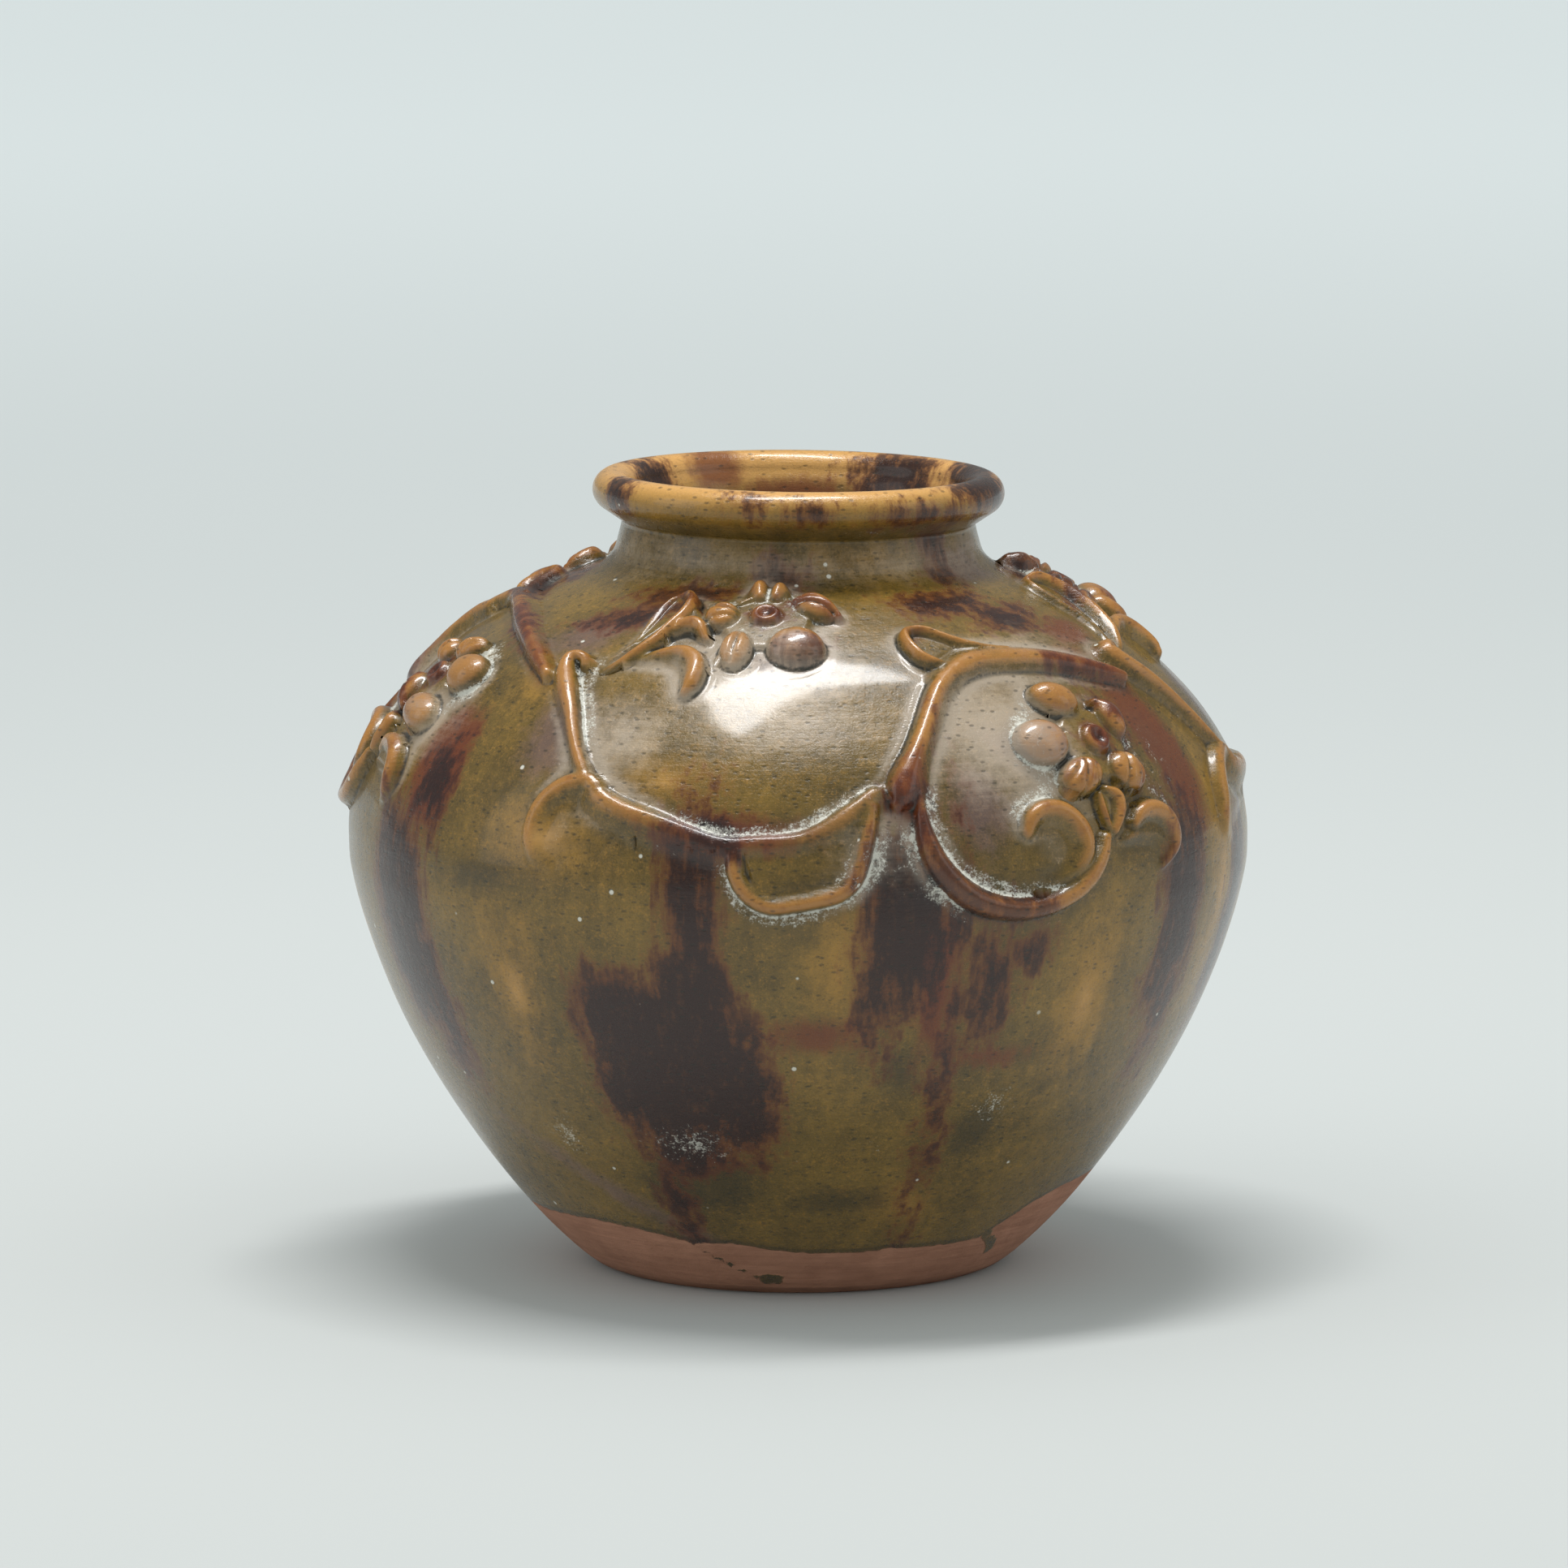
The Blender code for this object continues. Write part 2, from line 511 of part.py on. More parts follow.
def make_flower(jar_map, name, boss, petals, pad_radius, turn):
    """Five petals pressed on a thin pad, joined to one solid."""
    pad_outline = ellipse(boss, pad_radius, pad_radius, 0.0, PAD_STEPS)
    pad = pad_shape(jar_map, pad_outline, boss, PAD_RING_SHARES, 1.0, SLIP_GAP, PAD_RISE)
    flower = add_object(name, finish_mesh(name, pad), GLAZE_BROWN)
    petal_mesh = bpy.data.meshes.new(name + "_petals")
    gathered = bmesh.new()
    for across, up, half_long, half_wide, tilt in petals:
        x = boss[0] + across * cos(turn) - up * sin(turn)
        y = boss[1] + across * sin(turn) + up * cos(turn)
        outline = ellipse((x, y), half_long, half_wide, radians(tilt) + turn, PETAL_STEPS)
        sink = SLIP_GAP + PAD_RISE * PAD_SINK_SHARE
        shape = pad_shape(jar_map, outline, (x, y), PETAL_RING_SHARES, 1.0, sink, PETAL_RISE)
        shape.to_mesh(petal_mesh)
        shape.free()
        gathered.from_mesh(petal_mesh)
    bmesh.ops.recalc_face_normals(gathered, faces=gathered.faces)
    gathered.to_mesh(petal_mesh)
    gathered.free()
    cutter = bpy.data.objects.new(name + "_petals", petal_mesh)
    bpy.context.scene.collection.objects.link(cutter)
    cutter.hide_render = True
    cutter.display_type = "WIRE"
    join = flower.modifiers.new("petals pressed on", "BOOLEAN")
    join.operation = "UNION"
    join.solver = "EXACT"
    join.object = cutter
    return flower


def make_boss(jar_map, name, centre, radius):
    """The flower's round boss, with a pit pressed in its middle. It sits on the flower's pad."""
    outline = ellipse(centre, radius, radius, 0.0, BOSS_STEPS)
    seat = SLIP_GAP + PAD_RISE + SLIP_GAP
    shape = pad_shape(jar_map, outline, centre, BOSS_RING_SHARES, BOSS_PIT_SHARE, seat, BOSS_RISE)
    return add_object(name, finish_mesh(name, shape), GLAZE_BROWN)


def make_upper_half(jar_map, repeat):
    """The hook stem, its leaves, the trough and the upper flower of one repeat."""
    hook = repeat.place(HOOK_SHARES, repeat.upper)
    make_stem(jar_map, repeat.name("hook_stem"), hook, HOOK_RISE, GLAZE_AMBER)
    trough = repeat.place_trough(TROUGH_SHARES)
    make_stem(jar_map, repeat.name("trough_stem"), trough, TROUGH_RISE, GLAZE_OLIVE)
    hanging = repeat.place_trough(HANGING_SHARES)
    make_leaf(jar_map, repeat.name("hanging_leaf"), hanging, HANGING_RISE, GLAZE_OLIVE)
    leaves = (
        ("lobe_leaf", LOBE_SHARES, LOBE_RISE),
        ("calyx_blade", BLADE_SHARES, BLADE_RISE),
        ("calyx_sepal", UPPER_SEPAL_SHARES, UPPER_SEPAL_RISE),
        ("calyx_comma_leaf", UPPER_COMMA_SHARES, UPPER_COMMA_RISE),
    )
    for piece, points, rise in leaves:
        make_leaf(jar_map, repeat.name(piece), repeat.place(points, repeat.upper), rise, GLAZE_AMBER)
    boss = np.array(UPPER_BOSS_SHARES) + repeat.upper
    turn = radians(UPPER_FLOWER_TURN_SHARES[repeat.index])
    name = repeat.name("upper_flower")
    make_flower(jar_map, name, boss, UPPER_PETAL_SHARES, UPPER_PAD_RADIUS_SHARE, turn)
    make_boss(jar_map, repeat.name("upper_boss"), boss, UPPER_BOSS_RADIUS_SHARE)


def make_lower_half(jar_map, repeat):
    """The arch, its hook leaf, the bulb and loop stems, and the lower flower of one repeat."""
    make_stem(jar_map, repeat.name("arch_stem"), repeat.place_arch(ARCH_SHARES), ARCH_RISE, GLAZE_AMBER)
    bulb = repeat.place(BULB_SHARES, repeat.lower)
    make_stem(jar_map, repeat.name("bulb_stem"), bulb, BULB_RISE, GLAZE_AMBER)
    loop = repeat.place(LOOP_SHARES, repeat.lower)
    make_stem(jar_map, repeat.name("loop_stem"), loop, LOOP_RISE, GLAZE_BROWN)
    leaves = (
        ("hook_leaf", HOOK_LEAF_SHARES, HOOK_LEAF_RISE, repeat.arch_rise),
        ("left_comma_leaf", LEFT_COMMA_SHARES, LEFT_COMMA_RISE, 0.0),
        ("loop_sepal", LOOP_SEPAL_SHARES, LOOP_SEPAL_RISE, 0.0),
        ("right_comma_leaf", RIGHT_COMMA_SHARES, RIGHT_COMMA_RISE, 0.0),
    )
    for piece, points, height, rise in leaves:
        placed = repeat.place(points, repeat.lower, rise)
        make_leaf(jar_map, repeat.name(piece), placed, height, GLAZE_AMBER)
    boss = np.array(LOWER_BOSS_SHARES) + repeat.lower + LOWER_FLOWER_SHIFT_SHARES[repeat.index]
    turn = radians(LOWER_FLOWER_TURN_SHARES[repeat.index])
    name = repeat.name("lower_flower")
    make_flower(jar_map, name, boss, LOWER_PETAL_SHARES, LOWER_PAD_RADIUS_SHARE, turn)
    make_boss(jar_map, repeat.name("lower_boss"), boss, LOWER_BOSS_RADIUS_SHARE)


def main():
    clear_scene()
    jar_map = JarMap()
    make_body(jar_map)
    make_neck(jar_map)
    for index in range(len(UPPER_TURN_SHARES)):
        repeat = Repeat(index)
        make_upper_half(jar_map, repeat)
        make_lower_half(jar_map, repeat)


main()
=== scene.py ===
"""Looks of a globular glazed jar with a flowering vine in applied relief.

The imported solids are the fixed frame. Each of them is replaced by a finer piece that lies in the same
place: the thrown body, the collar with its rolled lip, and for each repeat of the vine its coils, leaves,
flowers and bosses. Lengths are in metres and +Z is up. Turn 0 faces -Y, and turn grows towards +X.

The vine is drawn on a flat map that keeps shapes true. Across it runs the turn round the jar, in degrees,
and up it the climb, which starts at the belly and grows by slant length over radius, in degrees too. All
pieces of the vine take their height from one drawing of the relief, so neighbours meet without a step.
"""

import json
import logging
import math
from dataclasses import dataclass, field
from enum import Enum
from itertools import product
from typing import Any, Sequence

import bpy
import numpy as np
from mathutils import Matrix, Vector


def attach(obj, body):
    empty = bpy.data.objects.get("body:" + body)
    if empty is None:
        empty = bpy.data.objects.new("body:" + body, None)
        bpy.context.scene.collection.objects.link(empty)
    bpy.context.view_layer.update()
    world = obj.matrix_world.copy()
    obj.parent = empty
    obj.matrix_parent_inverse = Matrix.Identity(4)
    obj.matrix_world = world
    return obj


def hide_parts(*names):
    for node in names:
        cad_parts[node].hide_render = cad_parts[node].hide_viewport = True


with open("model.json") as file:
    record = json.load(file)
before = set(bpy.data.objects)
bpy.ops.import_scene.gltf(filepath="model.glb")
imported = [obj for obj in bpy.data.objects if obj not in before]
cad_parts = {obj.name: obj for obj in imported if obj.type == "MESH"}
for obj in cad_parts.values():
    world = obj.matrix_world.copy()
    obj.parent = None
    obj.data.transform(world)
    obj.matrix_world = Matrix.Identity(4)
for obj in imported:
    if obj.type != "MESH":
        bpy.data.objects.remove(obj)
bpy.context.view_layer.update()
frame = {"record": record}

MM = 0.001
BODY = "root"
PHOTO_SIDE = 1932
DEGREE = math.pi / 180
# A point counts as this far outside a mark at most, in mm
FAR = 25.0
# What each attribute of a piece carries for the glaze: the tones' fields, the bare clay and the relief
CARRIED = {"tones_a": ("brown", "red", "green"), "tones_b": ("amber", "violet", "crust"),
           "tones_c": ("speck", "haze", "bare"), "shape": ("crease", "crest", "near")}
Array = np.ndarray
Course = Sequence[tuple[float, ...]]
log = logging.getLogger("jar")


class Tone(Enum):
    """What the glaze does in a place, and where sheen and light are painted: each tone is one field of the
    marks on the jar.
    """

    BROWN = 0
    RED = 1
    GREEN = 2
    AMBER = 3
    VIOLET = 4
    CRUST = 5
    SPECK = 6
    # Pale weathering and painted sheen: it also stands in for the lamps' soft reflections, and for light on
    # the neck under the lip
    HAZE = 7


class Slot(Enum):
    """The record's material slots."""

    OLIVE = "olive_glaze"
    AMBER = "amber_glaze"
    BROWN = "brown_glaze"


class Half(Enum):
    """What a drawing of the vine moves with from repeat to repeat."""

    UPPER = "upper"
    LOWER = "lower"
    TIED = "tied"
    HOOKED = "hooked"
    ARCHED = "arched"
    UPPER_BLOOM = "upper bloom"
    LOWER_BLOOM = "lower bloom"


class Edge(Enum):
    """How a ridge falls at a side: how far it spreads, and how much of it stands steep."""

    CRISP = (1.0, 1.0)
    ROUND = (1.3, 0.4)
    SOFT = (1.9, 0.1)
    LONG = (2.5, 0.0)


# ---- shapes -------------------------------------------------------------------------------------


def smooth_course(points: Array, steps: int) -> Array:
    """A Catmull-Rom curve through points of any dimension.

    Args:
        points: The points, one per row.
        steps: Spans between each two points.

    Returns:
        The points of the curve, one per row.
    """
    points = np.asarray(points, float)
    padded = np.vstack([2 * points[0] - points[1], points, 2 * points[-1] - points[-2]])
    share = (np.arange(steps) / steps)[:, None]
    spans = []
    for before, start, end, after in zip(padded, padded[1:], padded[2:], padded[3:]):
        slope, far_slope = (end - before) / 2, (after - start) / 2
        spans.append(start * (2 * share**3 - 3 * share**2 + 1) + end * (3 * share**2 - 2 * share**3)
                     + slope * (share**3 - 2 * share**2 + share) + far_slope * (share**3 - share**2))
    return np.vstack(spans + [points[-1:]])


def smooth_ring(points: Array, steps: int) -> Array:
    """A closed Catmull-Rom curve, each of its points given once."""
    points = np.asarray(points, float)
    wrapped = np.vstack([points[-2:], points, points[:2]])
    return smooth_course(wrapped, steps)[2 * steps:][:len(points) * steps]


def even_steps(points: Array, count: int, closed: bool) -> Array:
    """Lays points at even spacing along a curve.

    Args:
        points: The curve's points. Its first two columns are its place.
        count: How many points to lay.
        closed: Whether the curve comes back to its start.

    Returns:
        The points that lie along the curve.
    """
    if closed:
        points = np.vstack([points, points[:1]])
    run = np.concatenate([[0.0], np.cumsum(np.hypot(*np.diff(points[:, :2], axis=0).T))])
    at = np.linspace(0.0, run[-1], count, endpoint=not closed)
    return np.stack([np.interp(at, run, column) for column in points.T], axis=1)


def ease(value: Array, low: float, high: float) -> Array:
    """A smooth step from 0 at low to 1 at high."""
    share = np.clip((value - low) / (high - low), 0.0, 1.0)
    return share * share * (3 - 2 * share)


def dome(share: Array, roundness: tuple[float, float]) -> Array:
    """The section of a rolled or pressed form: 1 in its middle, 0 at its side."""
    return (1 - share ** roundness[0]) ** roundness[1]


def ellipse(across: float, up: float, half_long: float, half_wide: float, tilt: float = 0.0) -> Array:
    """The outline of a petal or boss on the map, with its tilt in degrees."""
    turn = np.linspace(0, 2 * math.pi, 16, endpoint=False)
    x, y, lean = half_long * np.cos(turn), half_wide * np.sin(turn), tilt * DEGREE
    return np.stack([across + x * math.cos(lean) - y * math.sin(lean),
                     up + x * math.sin(lean) + y * math.cos(lean)], axis=1)


class Grain:
    """Smooth random waves in space, from a seeded lattice."""

    SIDE = 32

    def __init__(self, seed: int) -> None:
        """Args:
            seed: The seed of the lattice.
        """
        self.lattice = np.random.default_rng(seed).random((self.SIDE,) * 3) * 2 - 1

    def at(self, points: Array, size: float) -> Array:
        """The waves at some points.

        Args:
            points: The points, one per row.
            size: The width of a wave.

        Returns:
            A value from -1 to 1 for each point.
        """
        scaled = points / size
        cell = np.floor(scaled).astype(int)
        part = scaled - cell
        part = part * part * (3 - 2 * part)
        total = np.zeros(len(points))
        for corner in product((0, 1), repeat=3):
            weight = np.prod(np.where(corner, part, 1 - part), axis=1)
            total += weight * self.lattice[tuple(((cell + corner) % self.SIDE).T)]
        return total


@dataclass
class Wall:
    """The outer wall of the jar as a turned curve, and the map on it."""

    foot_radius: float = 54.5 * MM
    belly_radius: float = 120.8 * MM
    belly_height: float = 114.0 * MM
    neck_radius: float = 47.4 * MM
    neck_height: float = 200.5 * MM
    lower: Course = (
        (0.035, 0.083), (0.105, 0.210), (0.193, 0.344), (0.307, 0.493), (0.439, 0.644), (0.570, 0.768),
        (0.702, 0.869), (0.833, 0.947), (0.939, 0.991), (1.0, 1.0),
    )
    upper: Course = (
        (0.092, 0.995), (0.208, 0.965), (0.324, 0.906), (0.439, 0.815), (0.555, 0.685), (0.647, 0.559),
        (0.728, 0.411), (0.798, 0.260), (0.832, 0.172), (0.861, 0.087), (0.902, 0.034), (0.960, 0.011),
        (1.0, 0.0),
    )
    fineness: int = 40

    def __post_init__(self) -> None:
        """Works out the curve, its slant length, its climb and its normals."""
        points = [(self.foot_radius, 0.0)]
        points += [(self.foot_radius + out * (self.belly_radius - self.foot_radius),
                    up * self.belly_height) for up, out in self.lower]
        points += [(self.neck_radius + out * (self.belly_radius - self.neck_radius),
                    self.belly_height + up * (self.neck_height - self.belly_height))
                   for up, out in self.upper]
        self.radius, self.height = smooth_course(np.array(points), self.fineness).T
        steps = np.hypot(np.diff(self.radius), np.diff(self.height))
        self.slant = np.concatenate([[0.0], np.cumsum(steps)])
        middle = (self.radius[1:] + self.radius[:-1]) / 2
        climb = np.concatenate([[0.0], np.cumsum(steps / middle)]) / DEGREE
        self.climb = climb - np.interp(self.belly_height, self.height, climb)
        out, rise = np.gradient(self.height, self.slant), -np.gradient(self.radius, self.slant)
        size = np.hypot(out, rise)
        self.out, self.rise = out / size, rise / size

    def scale(self, up: Array) -> Array:
        """Millimetres per degree of the map at this climb."""
        return np.interp(up, self.climb, self.radius) * DEGREE / MM

    def slant_at(self, up: Array) -> Array:
        """The slant length from the foot at this climb."""
        return np.interp(up, self.climb, self.slant)

    def climb_at(self, slant: Array) -> Array:
        """The climb at this slant length."""
        return np.interp(slant, self.slant, self.climb)

    def place(self, across: Array, up: Array, lift: Array) -> Array:
        """Points over the wall.

        Args:
            across: Turns, in degrees.
            up: Climbs, in degrees.
            lift: Heights over the wall, in metres.

        Returns:
            The points, with x, y and z on the last axis.
        """
        radius = np.interp(up, self.climb, self.radius) + lift * np.interp(up, self.climb, self.out)
        height = np.interp(up, self.climb, self.height) + lift * np.interp(up, self.climb, self.rise)
        turn = np.asarray(across) * DEGREE
        return np.stack([radius * np.sin(turn), -radius * np.cos(turn), height + 0 * turn], axis=-1)

    def cut(self, slant: Array, sunk: Array | float = 0.0) -> Array:
        """Points (radius, height) of the turned curve at some slant lengths, some way inside it."""
        radius, height, out, rise = (np.interp(slant, self.slant, side)
                                     for side in (self.radius, self.height, self.out, self.rise))
        return np.stack([radius - sunk * out, height - sunk * rise], axis=1)


# ---- the vine's drawing ---------------------------------------------------------------------------


@dataclass(frozen=True)
class Ridge:
    """A ridge drawn on the map: (across, up, half width in mm, height in mm), and how its sides fall.

    Its left side is the one on the left hand along the course.
    """

    half: Half
    course: Course
    left: Edge = Edge.CRISP
    right: Edge = Edge.CRISP


# The coils: (across, up, width in degrees)
HOOK = (
    (-41.7, 34.3, 4.0), (-40.6, 32.9, 4.4), (-38.6, 30.0, 3.1), (-36.8, 27.5, 2.6), (-35.0, 24.9, 2.4),
    (-33.4, 22.2, 2.2), (-31.8, 19.5, 2.1), (-30.2, 17.1, 1.9),
)
TROUGH = (
    (-29.5, 15.9, 1.9), (-28.0, 14.0, 3.0), (-25.4, 11.8, 4.1), (-22.0, 10.2, 3.9), (-18.0, 9.2, 3.2),
    (-14.0, 8.5, 2.4), (-10.0, 8.1, 1.8), (-5.0, 8.4, 1.5), (0.0, 9.1, 1.5), (4.0, 10.5, 1.7),
    (7.0, 12.3, 1.9), (9.2, 14.2, 1.5),
)
# The last column of the arch is how far it already belongs to the next repeat
ARCH = (
    (23.5, 32.7, 3.0, 0.0), (25.4, 34.1, 3.4, 0.0), (28.0, 35.6, 4.0, 0.0), (31.0, 36.8, 4.5, 0.0),
    (34.8, 37.2, 4.5, 0.0), (39.2, 36.8, 4.3, 0.0), (44.0, 36.0, 4.1, 0.0), (52.0, 34.8, 3.8, 0.2),
    (60.5, 33.1, 3.4, 0.45), (68.8, 31.4, 2.9, 0.72), (75.6, 30.0, 1.9, 1.0),
)
BULB = (
    (22.5, 31.5, 3.0), (20.7, 28.4, 3.1), (19.1, 25.3, 3.0), (17.5, 22.4, 2.9), (16.0, 19.7, 2.8),
    (14.9, 17.7, 3.3), (14.0, 15.7, 4.0), (13.1, 13.7, 3.6), (12.3, 12.1, 2.0),
)
LOOP = (
    (15.5, 12.7, 0.9), (15.5, 10.5, 1.5), (15.9, 8.0, 2.1), (17.1, 5.2, 2.4), (19.1, 2.7, 2.5),
    (21.9, 0.7, 2.4), (25.2, -0.6, 2.2), (28.6, -1.0, 2.0), (32.0, -0.7, 2.0), (35.3, 0.3, 2.1),
    (38.2, 2.1, 2.1), (40.3, 4.5, 1.9), (41.2, 6.2, 1.1),
)

